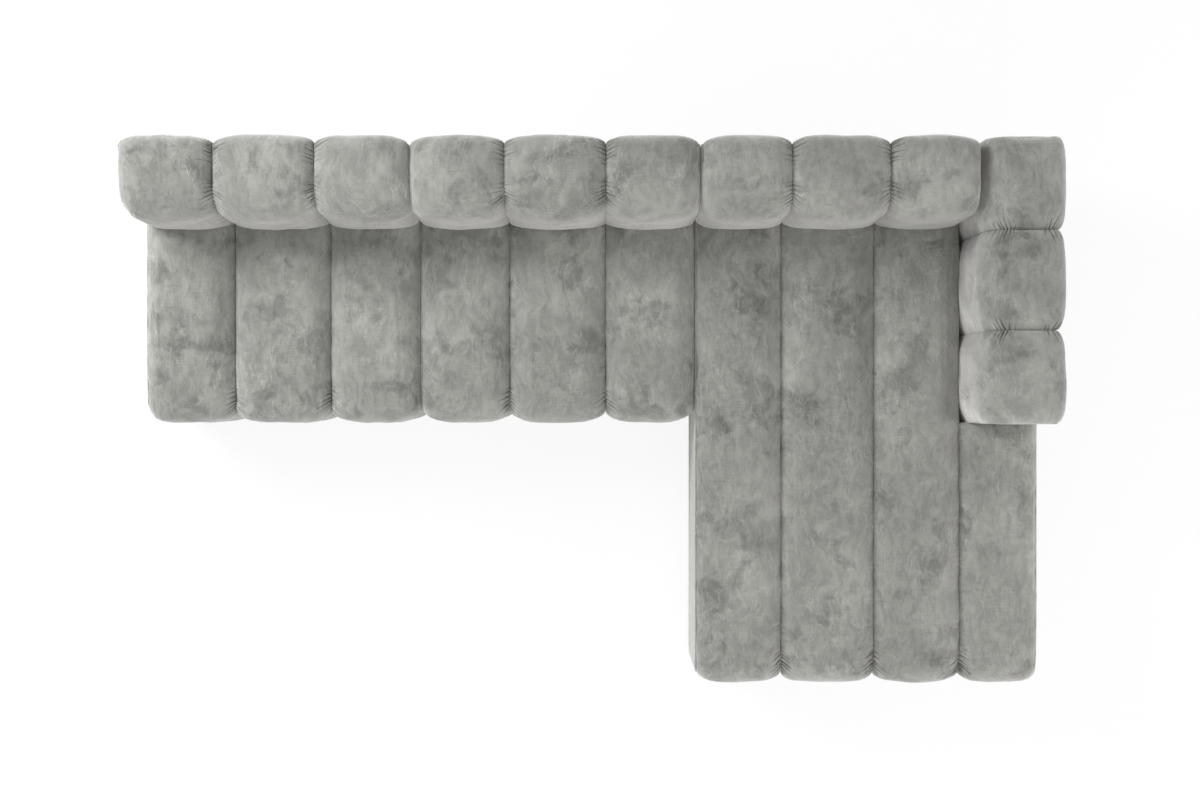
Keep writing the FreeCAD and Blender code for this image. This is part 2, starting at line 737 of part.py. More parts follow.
def corner_channel():
    """The chaise seat's fourth channel, in front of the arm."""
    places = [size.chaise_seat_width, size.chaise_seat_width + size.arm_thick]

    def outline(station, edge):
        return seat_outline(drawn_in(station, "seat", edge), size.chaise_depth, -size.module_depth)

    return channels(places, ["seam", "end"], outline, across_module)


# The modules


def armless_module(module, kind, linked_sides):
    """An armless module with connectors at one or both of its sides."""
    width, depth = "module_width", "module_depth"
    board_x = {"left": "0", "right": "module_width - board_thick"}
    face_x = {"left": "board_thick", "right": "module_width - board_thick"}
    rail_x = {"left": "board_thick", "right": "module_width - board_thick - rail_thick"}
    ends = ["seam" if side in linked_sides else "end" for side in ("left", "right")]
    pilots = connectors(module, kind, {side: face_x[side] for side in linked_sides})

    long_rails(module, depth, "(module_width - board_thick)")
    rails = [side_rail(f"{module}_{side}_rail", depth, rail_x[side]) for side in ("left", "right")]
    rails = [cut(f"{module}_{side}_drilled_rail", rail, pilots) if side in linked_sides else rail
             for side, rail in zip(("left", "right"), rails)]
    brace = side_rail(f"{module}_brace", depth, "(module_width - rail_thick) / 2", "brace_height")
    node(module, "base_side_rails", rails + [brace])
    block_x = ("board_thick + rail_thick", "module_width - board_thick - rail_thick - block_width")
    block_y = (front_inner(depth), f"{RAIL_REAR} - block_width")
    foot_pilots = footing(module, [(x, y) for x in block_x for y in block_y])
    dust_cover(module, depth, width, foot_pilots)
    reach = "(module_width - 2 * board_thick)"
    node(module, "back_frame", upright_frame(f"{module}_back", "board_thick", reach, "x", POST_FRONT))
    springs(module, SPRINGS["armless"], "y", front_inner(depth), RAIL_REAR,
            "board_thick + rail_thick", "module_width - board_thick - rail_thick")

    foam_size = ("module_width - 2 * board_thick", f"{depth} - seat_front_pad + {POST_FRONT}",
                 f"{FOAM_TOP} - {FOAM_BOTTOM}")
    foam = box(f"{module}_seat_block", ("board_thick", f"-{depth} + seat_front_pad", FOAM_BOTTOM), foam_size)
    node(module, "seat_foam", [foam])
    back_foam(module, "(module_width - board_thick)")
    boards = []
    for side, left in board_x.items():
        boards += end_board(module, side, left, depth, side in linked_sides)
    node(module, "end_boards", boards)
    sewn(module, "seat_cover", seat_channels(size.module_width, size.module_depth, ends))
    sewn(module, "back_cover", back_channels(size.module_width, ends))


def chaise_frame(module):
    """The chaise module's base frame, feet and back and arm frames."""
    depth = "chaise_depth"
    inner_rail = "(chaise_seat_width + (arm_pad - rail_thick) / 2)"
    outer_rail = f"({ARM_CORE_RIGHT} - rail_thick)"
    pilots = connectors(module, "hook", {"left": "board_thick"})
    long_rails(module, depth, ARM_CORE_RIGHT)
    left_rail = cut("chaise_left_drilled_rail", side_rail("chaise_left_rail", depth, "board_thick"), pilots)
    others = [side_rail("chaise_inner_rail", depth, inner_rail),
              side_rail("chaise_outer_rail", depth, outer_rail)]
    node(module, "base_side_rails", [left_rail] + others)

    low_left = "(board_thick + rail_thick)"
    beside = f"({inner_rail} + rail_thick)"
    deck_bottom = f"({FOAM_BOTTOM} - deck_thick)"
    across = []
    for spot in range(1, BRACES + 1):
        rear = f"{front_inner(depth)} + {inner_length(depth)} * {spot} / {BRACES + 1} - rail_thick / 2"
        across.append(box(f"chaise_brace_{spot}", (low_left, rear, RAIL_BOTTOM),
                          (f"{inner_rail} - {low_left}", "rail_thick", "brace_height")))
    for spot in range(BEARERS):
        share = f"{2 * spot + 1} / {2 * BEARERS}"
        rear = f"{front_inner(depth)} + {inner_length(depth)} * {share} - rail_thick / 2"
        across.append(box(f"chaise_bearer_{spot + 1}", (beside, rear, RAIL_BOTTOM),
                          (f"{outer_rail} - {beside}", "rail_thick", f"{deck_bottom} - {RAIL_BOTTOM}")))
    node(module, "base_cross_rails", across)
    deck = box("chaise_deck", (beside, front_inner(depth), deck_bottom),
               (f"{outer_rail} - {beside}", inner_length(depth), "deck_thick"))
    node(module, "side_deck", [deck])

    block_x = (low_left, f"{outer_rail} - block_width")
    block_y = (front_inner(depth), f"{front_inner(depth)} + ({inner_length(depth)} - block_width) / 2",
               f"{RAIL_REAR} - block_width")
    foot_pilots = footing(module, [(x, y) for x in block_x for y in block_y])
    dust_cover(module, depth, ARM_CORE_RIGHT, foot_pilots)
    reach = "(chaise_seat_width - board_thick)"
    node(module, "back_frame", upright_frame("chaise_back", "board_thick", reach, "x", POST_FRONT))
    arm_reach = "(module_depth - board_thick - rear_pad)"
    node(module, "arm_frame", upright_frame("chaise_arm", "(-module_depth + board_thick)", arm_reach,
                                            "y", f"({ARM_CORE_RIGHT} - post_thick)"))
    springs(module, SPRINGS["chaise"], "x", low_left, inner_rail, front_inner(depth), RAIL_REAR)


def chaise_boards(module):
    """The boards at the chaise module's sides and at the arm's two ends."""
    left = end_board(module, "left", "0", "chaise_depth", True)
    right = box("chaise_right_board", (ARM_CORE_RIGHT, "-chaise_depth + seat_front_pad", "foot_height"),
                ("rear_pad", "chaise_depth - seat_front_pad - module_depth", f"{FOAM_TOP} - foot_height"))
    node(module, "end_boards", left + [right])
    front = box("chaise_arm_front_board", (ARM_CORE_LEFT, "-module_depth", FOAM_BOTTOM),
                (f"{ARM_CORE_RIGHT} - {ARM_CORE_LEFT}", "board_thick", f"{CORE_TOP} - {FOAM_BOTTOM}"))
    rear = doc.addObject("PartDesign::Body", "chaise_arm_rear_board")
    pad(rear, "XZ_Plane", "arm_rear_board", [
        ("chaise_seat_width", "foot_height"),
        (ARM_CORE_RIGHT, "foot_height"),
        (ARM_CORE_RIGHT, CORE_TOP),
        (ARM_CORE_LEFT, CORE_TOP),
        (ARM_CORE_LEFT, FOAM_BOTTOM),
        ("chaise_seat_width", FOAM_BOTTOM),
    ], "rear_pad", midplane=False)
    node(module, "arm_end_boards", [front, rear])


def chaise_soft(module):
    """The chaise module's foam and covers."""
    outline = [
        ("board_thick", "-chaise_depth + seat_front_pad"),
        (ARM_CORE_RIGHT, "-chaise_depth + seat_front_pad"),
        (ARM_CORE_RIGHT, "-module_depth"),
        ("chaise_seat_width", "-module_depth"),
        ("chaise_seat_width", POST_FRONT),
        ("board_thick", POST_FRONT),
    ]
    foam = doc.addObject("PartDesign::Body", "chaise_seat_block")
    pad(foam, "XY_Plane", "chaise_seat_slab", outline, f"{FOAM_TOP} - {FOAM_BOTTOM}", midplane=False)
    bind(foam, {"Placement.Base.z": FOAM_BOTTOM})
    node(module, "seat_foam", [foam])
    back_foam(module, "chaise_seat_width")
    arm_size = (f"{ARM_CORE_RIGHT} - post_thick - {ARM_CORE_LEFT}", "module_depth - board_thick - rear_pad",
                f"{CORE_TOP} - {FOAM_BOTTOM}")
    arm_foam = box("chaise_arm_block", (ARM_CORE_LEFT, "-module_depth + board_thick", FOAM_BOTTOM), arm_size)
    node(module, "arm_foam", [arm_foam])

    joined = ["seam", "seam"]
    seat = seat_channels(size.chaise_seat_width, size.chaise_depth, joined) + corner_channel()
    sewn(module, "seat_cover", seat)
    sewn(module, "back_cover", back_channels(size.chaise_seat_width, joined))
    sewn(module, "arm_cover", arm_channels())


armless_module("left", "hook", ["right"])
armless_module("middle", "pocket", ["left", "right"])
chaise_frame("chaise")
chaise_boards("chaise")
chaise_soft("chaise")
doc.recompute()

faults = [piece.Label for piece in doc.Objects if {"Invalid", "Error"} & set(piece.State)]
faults += [piece.Label for piece in nodes if piece.Shape.isNull() or not piece.Shape.isValid()]
if faults:
    raise ValueError("not built: " + ", ".join(faults))

os.makedirs("parts", exist_ok=True)
for piece in nodes:
    piece.Shape.exportStep(f"parts/{piece.Label}.step")
print(len(nodes), "sub-parts")
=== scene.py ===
"""Modular corner sofa in crushed grey velvet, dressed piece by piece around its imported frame.

Everything is in metres. +X runs to the right seen from the front, +Y to the back and +Z up, and the
floor is at z 0. A cover starts as one section, drawn from its rear or outer side over its top. The
section is pulled across the cover's channels and drawn in at every seam, the stuffing then puffs it up
as cloth, and its velvet is gathered into pleats along the seams.
"""

import math
import random

import bmesh
import bpy
import numpy as np
from bpy.props import FloatProperty, FloatVectorProperty, IntProperty, PointerProperty
from mathutils import Matrix, Vector


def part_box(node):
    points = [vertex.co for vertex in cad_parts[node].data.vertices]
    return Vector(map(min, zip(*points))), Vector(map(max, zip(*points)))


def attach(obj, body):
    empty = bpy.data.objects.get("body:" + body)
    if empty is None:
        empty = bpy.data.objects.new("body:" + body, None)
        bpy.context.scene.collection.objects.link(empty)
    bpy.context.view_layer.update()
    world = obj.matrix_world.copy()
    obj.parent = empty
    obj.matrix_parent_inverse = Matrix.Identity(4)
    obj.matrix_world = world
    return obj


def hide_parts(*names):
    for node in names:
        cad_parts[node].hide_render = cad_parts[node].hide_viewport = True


bl_info = {
    "name": "Modular Corner Sofa",
    "version": (1, 0, 0),
    "blender": (4, 5, 0),
    "location": "View3D > Sidebar > Sofa",
    "description": "Dresses the frame of a modular corner sofa in channelled velvet",
    "category": "Object",
}

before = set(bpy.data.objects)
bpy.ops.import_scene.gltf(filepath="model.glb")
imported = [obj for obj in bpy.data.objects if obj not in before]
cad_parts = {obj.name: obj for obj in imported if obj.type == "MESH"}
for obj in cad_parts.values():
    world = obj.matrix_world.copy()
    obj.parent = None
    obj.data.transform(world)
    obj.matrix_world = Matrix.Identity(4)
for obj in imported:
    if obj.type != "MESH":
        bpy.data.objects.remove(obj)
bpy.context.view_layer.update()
MODULES = ("left", "middle", "chaise")
CHANNELS = 3
SPRING_COUNTS = {"left": 4, "middle": 4, "chaise": 8}
REAR = Vector((0, 1, 0))
FRONT = Vector((0, -1, 0))
UP = Vector((0, 0, 1))

# Where a channel's columns stand beside a seam, as shares of the seam's reach
NEAR_SEAM = (0, 0.018, 0.055, 0.12, 0.24, 0.43, 0.69, 1)

# Stretches of a seam where the velvet is gathered: the mark on the section that they follow, how far
# past it their middle lies, half their length, and the strength and the slant of their pleats
BACK_GATHERS = (("outer roll", 0.062, 0.06, 1.0, -0.35), ("inner roll", 0.05, 0.05, 0.9, 0.4))
ARM_GATHERS = (("outer roll", 0.062, 0.035, 1.0, -0.25), ("inner roll", 0.055, 0.04, 1.1, 0.3))
SEAT_GATHERS = (("front roll", 0.012, 0.055, 1.1, 0.7),)

# How unevenly the pleats of a gather and the small puckers between them are sewn
PLEAT = {"start": (0.85, 1), "length": (0.5, 1.2), "depth": (0.4, 1.0), "width": (0.22, 0.34),
         "slant": (-0.2, 0.2), "step": (0.75, 1.4)}
PUCKER = {"length": (0.3, 0.8), "depth": (0.2, 1.0), "width": (0.35, 0.6), "step": (1.0, 2.6)}

# What is left of a pleat's length and depth at the ends of its gather, and how far the pleats fan out
END_LENGTH, END_DEPTH, FAN = 0.5, 0.35, 0.3


# Sizes and colours that a user would change


def length(name, description, default):
    """A size in metres."""
    return FloatProperty(name=name, description=description, default=default, unit="LENGTH", precision=4)


def number(name, description, default):
    """A plain number."""
    return FloatProperty(name=name, description=description, default=default)


def fraction(name, description, default):
    """A share between 0 and 1."""
    return FloatProperty(name=name, description=description, default=default, subtype="FACTOR", min=0, max=1)


def watts(name, description, default):
    """A lamp's power."""
    return FloatProperty(name=name, description=description, default=default, unit="POWER", min=0)


def colour(name, description, default):
    """A linear colour."""
    return FloatVectorProperty(name=name, description=description, default=default, subtype="COLOR", size=3,
                               min=0, max=1)


class CoverSizes(bpy.types.PropertyGroup):
    """Shape of the padded covers and the panels at their sides."""
    back_roll: length("Back roll", "Radius of the roll at the back's front edge", 0.112)
    arm_roll: length("Arm roll", "Radius of the roll at the arm's inner edge", 0.105)
    outer_roll: length("Outer roll", "Radius of the roll at the rear and outside the arm", 0.042)
    seat_roll: length("Seat roll", "Radius of the roll at the seat's front edge", 0.064)
    hem_roll: length("Hem roll", "Radius of the turned edge at a cover's hem", 0.009)
    heel_roll: length("Heel roll", "Radius of the edge where a channel starts at the arm's front", 0.014)
    top_crown: length("Top crown", "Rise of the top of a back or arm channel", 0.003)
    crown: length("Crown", "Rise of a channel between its seams", 0.003)
    seat_fall: length("Seat fall", "How much the seat falls towards its front roll", 0.009)
    seat_fall_length: length("Seat fall length", "Length over which the seat falls", 0.14)
    back_lean: length("Back lean", "How much thinner the back is below its front roll", 0.006)
    face_lean: length("Face lean", "How much the seat's front leans in at its hem", 0.004)
    channel_extra: length("Wider middle", "How much wider a middle channel is", 0.022)
    back_seam: length("Back seam", "Depth of a seam in a back or arm cover", 0.030)
    seat_seam: length("Seat seam", "Depth of a seam in a seat cover", 0.040)
    end_seam: length("End seam", "How far a cover is drawn in at a free end", 0.044)
    front_allowance: length("Front allowance", "How much smaller a front starts than it puffs up to", 0.008)
    seam_roll: length("Seam roll", "Width of the roll beside a seam", 0.052)
    seam_roll_share: fraction("Seam roll share", "Share of a seam's depth in that roll", 0.7)
    face_share: fraction("Face share", "Share of a seam's depth on a front", 0.75)
    arm_face_share: fraction("Arm face share", "Share of a seam's depth on the arm's inner face", 0.42)
    top_reach: length("Top reach", "How far from a seam a channel's top starts to fall", 0.085)
    side_reach: length("Side reach", "How far from a seam a channel's front or rear starts to fall", 0.105)
    end_roll: length("End roll", "Width of the roll at a cover's free end", 0.05)
    end_roll_share: fraction("End roll share", "Share of an end seam's depth in that roll", 0.95)
    rear_share: fraction("Rear share", "Share of a seam's depth at the rear", 0.8)
    end_rear_share: fraction("End rear share", "Share of a free end's depth at the rear", 0.5)
    wall: length("Wall", "Thickness of the padding behind the back's frame", 0.044)
    seat_front: length("Seat front", "Thickness of the padding in front of the seat's rail", 0.072)
    panel: length("Panel", "Thickness of the velvet panel at a module's side", 0.005)
    free_panel: length("Free panel", "How far a free side panel stands out at its seam", 0.0008)
    panel_tuck: length("Panel tuck", "How far a side panel reaches past its seam", 0.0015)
    panel_swell: length("Panel swell", "How far a free side panel swells", 0.009)
    panel_rise: length("Panel rise", "Height over which the arm's end panels widen to their foot", 0.07)


class ClothSizes(bpy.types.PropertyGroup):
    """How the velvet puffs up and gathers."""
    pressure: number("Pressure", "Pressure of the stuffing on the cloth", 4.0)
    slack: fraction("Slack", "Share by which the cloth is larger than its shape", 0.004)
    swell: length("Swell", "Most that the stuffing may move a point", 0.006)
    row: length("Row", "Spacing of the rows along a straight run before they are divided", 0.016)
    fine_row: length("Fine row", "Spacing of the rows along a roll before they are divided", 0.008)
    column: length("Column", "Spacing of the columns in the middle of a channel", 0.04)
    pleat_depth: length("Pleat depth", "Depth of a gathered pleat at a seam", 0.007)
    pleat_length: length("Pleat length", "Length of a gathered pleat away from its seam", 0.054)
    pleat_spacing: length("Pleat spacing", "Spacing of the pleats in a gathered stretch", 0.0125)
    pucker_depth: length("Pucker depth", "Depth of the small puckers all along a seam", 0.0012)
    # The painted shade line beside each seam is this wide; the pleats fade in over twice this width
    seam_shade_width: length("Seam edge", "Width of the dark line that a seam leaves on each side", 0.002)
    lump: length("Lump", "Unevenness of the stuffing", 0.0009)
    frames: IntProperty(name="Frames", description="Frames that the cloth runs for", default=20, min=2)
    seed: IntProperty(name="Seed", description="Seed of the pleats' irregularity", default=7)


class InnerSizes(bpy.types.PropertyGroup):
    """Sizes of what the covers hide and of the feet."""
    spring_wire: length("Spring wire", "Diameter of the spring wire", 0.0038)
    spring_bar: length("Spring bar", "Length of a straight bar of a zigzag spring", 0.05)
    spring_pitch: length("Spring pitch", "Spacing of the bars along a spring", 0.036)
    foam_edge: length("Foam edge", "Rounding of a cut foam edge", 0.006)
    foot_top: length("Foot top", "Radius of a foot at its top", 0.024)
    foot_floor: length("Foot floor", "Radius of a foot at the floor", 0.020)
    foot_bore: length("Foot bore", "Radius of the bore in a foot", 0.007)
    foot_bore_depth: length("Foot bore depth", "Depth of that bore", 0.018)
    hook_width: length("Hook width", "Width of a connector's hook", 0.084)
    window_width: length("Window width", "Width of the opening for a connector in a panel", 0.092)
    window_low: length("Window low", "Height of that opening's lower edge", 0.0796)
    window_high: length("Window high", "Height of that opening's upper edge", 0.195)


class Finishes(bpy.types.PropertyGroup):
    """Colours and contrasts of the sofa's materials, and the strength of its light."""
    velvet_light: colour("Velvet, brushed up", "Velvet with its pile to the light", (0.385, 0.384, 0.360))
    velvet_dark: colour("Velvet, brushed down", "Velvet where its pile lies away", (0.163, 0.1635, 0.150))
    velvet_sheen: colour("Velvet sheen", "What the pile throws at a glancing angle", (1.0, 0.99, 0.985))
    velvet_contrast: number("Velvet contrast", "Contrast of the crushed pile on the covers", 1.3)
    panel_contrast: number("Panel contrast", "Contrast of the crushed pile on the side panels", 1.1)
    foot: colour("Foot plastic", "Black moulded plastic", (0.012, 0.012, 0.013))
    dust: colour("Dust cloth", "Black non-woven cloth", (0.018, 0.018, 0.02))
    foam: colour("Foam", "Upholstery foam", (0.80, 0.74, 0.55))
    wood: colour("Softwood", "Sawn softwood", (0.56, 0.38, 0.21))
    board: colour("Plywood", "Plywood board", (0.50, 0.34, 0.19))
    steel: colour("Zinc", "Zinc-plated steel", (0.62, 0.63, 0.64))
    spring: colour("Spring wire", "Oiled spring wire", (0.22, 0.22, 0.23))
    sky: number("Sky", "Strength of the light from all round", 0.43)
    key: watts("Key lamp", "Power of the large lamp at the left", 208.0)
    front_fill: watts("Front lamp", "Power of the lamp at the front", 128.25)
    right_fill: watts("Right lamp", "Power of the lamp at the right", 71.25)


# Sections


class Pen:
    """Draws a closed section in the plane of y and z with extruded and spun points.

    y is 0 at the rear and falls towards the front. The section runs up its rear, over its top and down
    its front. Each point knows its place along the section and whether it shows.
    """

    def __init__(self, y, z):
        self.mesh = bmesh.new()
        points = self.mesh.verts.layers.float
        self.along = points.new("along")
        self.across = points.new("across")
        self.skin = points.new("skin")
        self.crease = self.mesh.edges.layers.float.new("crease_edge")
        self.path = [self.mesh.verts.new((0, y, z))]
        self.outward = [None]
        self.marks = {}
        self.shown = True

    def grow(self, steps, move, out):
        """Extrude the last point step by step."""
        for _ in range(steps):
            grown = bmesh.ops.extrude_vert_indiv(self.mesh, verts=[self.path[-1]])["verts"]
            move(grown)
            grown[0][self.skin] = float(self.shown)
            self.path += grown
            self.outward.append(out)

    def run(self, y, z, spacing, out=None):
        """A straight run to a point."""
        way = Vector((0, y, z)) - self.path[-1].co
        steps = max(1, round(way.length / spacing))
        self.grow(steps, lambda grown: bmesh.ops.translate(self.mesh, verts=grown, vec=way / steps), out)

    def roll(self, y, z, spacing, out=None):
        """A quarter turn about a centre."""
        centre = Vector((0, y, z))
        steps = max(3, round((self.path[-1].co - centre).length * math.pi / 2 / spacing))
        turn = Matrix.Rotation(math.pi / 2 / steps, 3, "X")

        def move(grown):
            bmesh.ops.rotate(self.mesh, verts=grown, cent=centre, matrix=turn)

        self.grow(steps, move, out)

    def mark(self, name):
        """Remember the place of the last point."""
        self.marks[name] = len(self.path) - 1

    def close(self):
        """Join the last point to the first, and work out each point's place and outward direction."""
        self.mesh.edges.new((self.path[-1], self.path[0]))
        reach = 0.0
        for index, vert in enumerate(self.path):
            reach += (vert.co - self.path[index - 1].co).length if index else 0.0
            vert[self.along] = reach
            if self.outward[index] is None:
                ahead = self.path[(index + 1) % len(self.path)].co - self.path[index - 1].co
                self.outward[index] = Vector((0, ahead.z, -ahead.y)).normalized()

    def place(self, name):
        """How far along the section a mark is."""
        return self.path[self.marks[name]][self.along]


def wrap_section(high, thick, lean, roll, core, bottom, sizes, cloth):
    """Section of a cover over a back or an arm."""
    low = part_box("left_back_cover")[0].z
    core_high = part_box("left_back_foam")[1].z
    outer, hem, wall, fine = sizes.outer_roll, sizes.hem_roll, sizes.wall, cloth.fine_row
    shoulder = high - sizes.top_crown
    thick -= sizes.front_allowance
    edge = -thick + lean + roll
    pen = Pen(-wall, low)
    pen.run(-hem, low, wall, REAR)
    pen.roll(-hem, low + hem, fine, REAR)
    pen.run(0, shoulder - outer, cloth.row)
    pen.mark("outer roll")
    pen.roll(-outer, shoulder - outer, fine)
    pen.run((edge - outer) / 2, high, fine)
    pen.run(edge, shoulder, fine)
    pen.mark("inner roll")
    pen.roll(edge, shoulder - roll, fine)
    pen.run(-thick, bottom + hem, cloth.row)
    pen.mark("inner hem")
    pen.roll(-thick + hem, bottom + hem, fine, FRONT)
    pen.shown = False
    for y, z in ((core, bottom), (core, core_high), (-wall, core_high), (-wall, low + wall)):
        pen.run(y, z, wall)
    pen.close()
    return pen


def seat_section(high, depth, rear, heel, sizes, cloth):
    """Section of a seat cover from the back over the front edge to its hem."""
    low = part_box("left_seat_cover")[0].z
    foam_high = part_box("left_seat_foam")[1].z
    first_rise = (high - foam_high) / 8
    roll, hem, wall, fine = sizes.seat_roll, sizes.hem_roll, sizes.wall, cloth.fine_row
    depth -= sizes.front_allowance
    edge, face = -depth + roll, -depth + sizes.face_lean
    fall = sizes.seat_fall_length
    lip = high - sizes.seat_fall
    pen = Pen(rear, foam_high)
    pen.path[0][pen.skin] = 0.0
    pen.run(rear, high - heel, wall, UP)
    if heel:
        pen.roll(rear - heel, high - heel, fine / 2, UP)
    pen.run(edge + fall, high, cloth.row)
    pen.run(edge + fall / 2, high - sizes.seat_fall / 3, fine)
    pen.run(edge, lip, fine)
    pen.mark("front roll")
    pen.roll(edge, lip - roll, fine)
    pen.run(face, low + hem, cloth.row)
    pen.roll(face + hem, low + hem, fine, FRONT)
    pen.shown = False
    inner = -depth + sizes.seat_front
    for y, z in ((inner, low), (inner, foam_high)):
        pen.run(y, z, wall)
    pen.run(rear, foam_high + first_rise, wall * 2)
    pen.close()
    return pen


def back_section(module, rest, sizes, cloth):
    """Section of a module's back cover, down to a height at the seat."""
    low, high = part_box(f"{module}_back_cover")
    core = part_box(f"{module}_back_foam")[0].y - high.y
    return wrap_section(high.z - sizes.crown, high.y - low.y, sizes.back_lean, sizes.back_roll, core, rest,
                        sizes, cloth)


def arm_section(rest, sizes, cloth):
    """Section of the arm cover, down to a height inside the arm."""
    low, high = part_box("chaise_arm_cover")
    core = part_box("chaise_arm_foam")[0].x - high.x
    return wrap_section(high.z - sizes.crown, high.x - low.x, 0.0, sizes.arm_roll, core, rest, sizes, cloth)


def module_seat_section(module, sizes, cloth):
    """Section of a module's seat cover in front of its back."""
    low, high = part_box(f"{module}_seat_cover")
    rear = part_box(f"{module}_back_cover")[1].y
    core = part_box(f"{module}_back_foam")[0].y - rear
    return seat_section(high.z - sizes.crown, rear - low.y, core, 0.0, sizes, cloth)


def corner_section(sizes, cloth):
    """Section of the chaise's fourth channel, which starts in front of the arm."""
    low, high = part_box("chaise_seat_cover")
    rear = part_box("chaise_back_cover")[1].y
    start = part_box("chaise_arm_cover")[0].y - rear
    return seat_section(high.z - sizes.crown, rear - low.y, start, sizes.heel_roll, sizes, cloth)


# Covers


class Seam:
    """A line across a cover where its velvet is sewn down, or an end of the cover."""

    def __init__(self, at, depth, sizes, free=False, gathered=False, face_share=None):
        self.at = at
        self.depth = depth
        self.roll = sizes.end_roll if free else sizes.seam_roll
        self.share = sizes.end_roll_share if free else sizes.seam_roll_share
        self.rear_share = sizes.end_rear_share if free else sizes.rear_share
        self.face_share = face_share or (1.0 if free else sizes.face_share)
        self.top_reach = sizes.top_reach
        self.side_reach = sizes.side_reach
        self.gathered = gathered

    def draw(self, distance, out):
        """How far the cover is drawn in near the seam: a roll, then a long slope."""
        upness = max(0.0, out.z)
        reach = self.side_reach + (self.top_reach - self.side_reach) * upness
        slope = max(0.0, 1 - distance / reach) ** 2
        roll = 1 - math.sqrt(1 - max(0.0, 1 - distance / self.roll) ** 2)
        less = (1 - self.rear_share) * max(0.0, out.y) + (1 - self.face_share) * max(0.0, -out.y)
        return self.depth * (1 - less) * (self.share * roll + (1 - self.share) * slope)


def stations_between(low, high, spacing):
    """Places across a channel, close together at its seams."""
    reach = min(low.side_reach, (high.at - low.at) / 2)
    away = [reach * share for share in NEAR_SEAM]
    inner = high.at - low.at - 2 * reach
    steps = max(1, round(inner / spacing))
    places = [low.at + distance for distance in away]
    places += [low.at + reach + inner * step / steps for step in range(1, steps)]
    return places + [high.at - distance for distance in reversed(away)]


def verts_of(geometry):
    """The points among what an operator returned."""
    return [part for part in geometry if isinstance(part, bmesh.types.BMVert)]


def pull(pen, seams, sizes, cloth, dips=()):
    """Pull a section across x through its seams, drawn in at each, and close its two ends.

    The lower front edge of a back sinks by the dips of the seat that it stands on. Returns the points
    that lie on a seam or an end.
    """
    mesh, row = pen.mesh, list(pen.path)
    facts = [(vert.co.copy(), out, vert[pen.skin], vert[pen.along]) for vert, out in zip(row, pen.outward)]
    foot = pen.path[pen.marks["inner hem"]].co.z if dips else 0.0
    in_front = -sizes.wall * 1.01
    stations = []
    for low, high in zip(seams, seams[1:]):
        between = stations_between(low, high, cloth.column)
        stations += [(at, low, high) for at in (between[1:] if stations else between)]
    held = []
    for step, (at, low, high) in enumerate(stations):
        if step:
            members = set(row)
            ring = {edge for vert in row for edge in vert.link_edges if edge.other_vert(vert) in members}
            fresh = set(verts_of(bmesh.ops.extrude_edge_only(mesh, edges=list(ring))["geom"]))
            row = [next(edge.other_vert(vert) for edge in vert.link_edges if edge.other_vert(vert) in fresh)
                   for vert in row]
        share = (at - low.at) / (high.at - low.at)
        puffed = sizes.crown * (1 - (2 * share - 1) ** 2)
        dip = max((seam.draw(abs(at - seam.at), UP) for seam in dips), default=0.0)
        for vert, (start, out, skin, reach) in zip(row, facts):
            drawn = max(low.draw(at - low.at, out), high.draw(high.at - at, out))
            place = start + out * (puffed - drawn) * skin
            if dips and start.y < in_front and (out.y < 0 or not skin):
                place.z -= dip * max(0.0, 1 - max(0.0, start.z - foot) / sizes.back_roll)
            vert.co = (at, place.y, place.z)
            vert[pen.across], vert[pen.along], vert[pen.skin] = at, reach, skin
        if at in (low.at, high.at):
            held += row
            members = set(row)
            for edge in {edge for vert in row for edge in vert.link_edges}:
                if edge.verts[0] in members and edge.verts[1] in members:
                    edge[pen.crease] = 1.0
    ends = [edge for edge in mesh.edges if edge.is_boundary]
    caps = bmesh.ops.holes_fill(mesh, edges=ends, sides=0)["faces"]
    bmesh.ops.triangulate(mesh, faces=caps)
    bmesh.ops.recalc_face_normals(mesh, faces=mesh.faces)
    return held


def link_object(name, data):
    """A new object in the scene."""
    piece = bpy.data.objects.new(name, data)
    bpy.context.scene.collection.objects.link(piece)
    return piece


def new_object(name, mesh):
    """A mesh object in the scene, from a bmesh that is then freed."""
    data = bpy.data.meshes.new(name)
    mesh.to_mesh(data)
    mesh.free()
    return link_object(name, data)


def rough_cover(name, pen, seams, sizes, cloth, dips=()):
    """A cover before it is puffed up, with what holds still in a group of its own."""
    held = set(pull(pen, seams, sizes, cloth, dips))
    mesh, skin = pen.mesh, pen.skin
    hem = min(vert.co.z for vert in mesh.verts) + sizes.hem_roll
    mesh.verts.index_update()
    still = [vert.index for vert in mesh.verts if vert in held or vert[skin] < 0.5 or vert.co.z < hem]
    piece = new_object(name, mesh)
    piece.vertex_groups.new(name="held").add(still, 1.0, "REPLACE")
    return piece


def coordinates(mesh):
    """A mesh's points as an array."""
    points = np.empty(len(mesh.vertices) * 3, np.float32)
    mesh.vertices.foreach_get("co", points)
    return points.reshape(-1, 3).astype(np.float64)


def move_points(mesh, points):
    """Put a mesh's points in new places."""
    mesh.vertices.foreach_set("co", points.astype(np.float32).ravel())
    mesh.update()


def layer(mesh, name):
    """One number for each of a mesh's points."""
    values = np.empty(len(mesh.vertices), np.float32)
    mesh.attributes[name].data.foreach_get("value", values)
    return values.astype(np.float64)


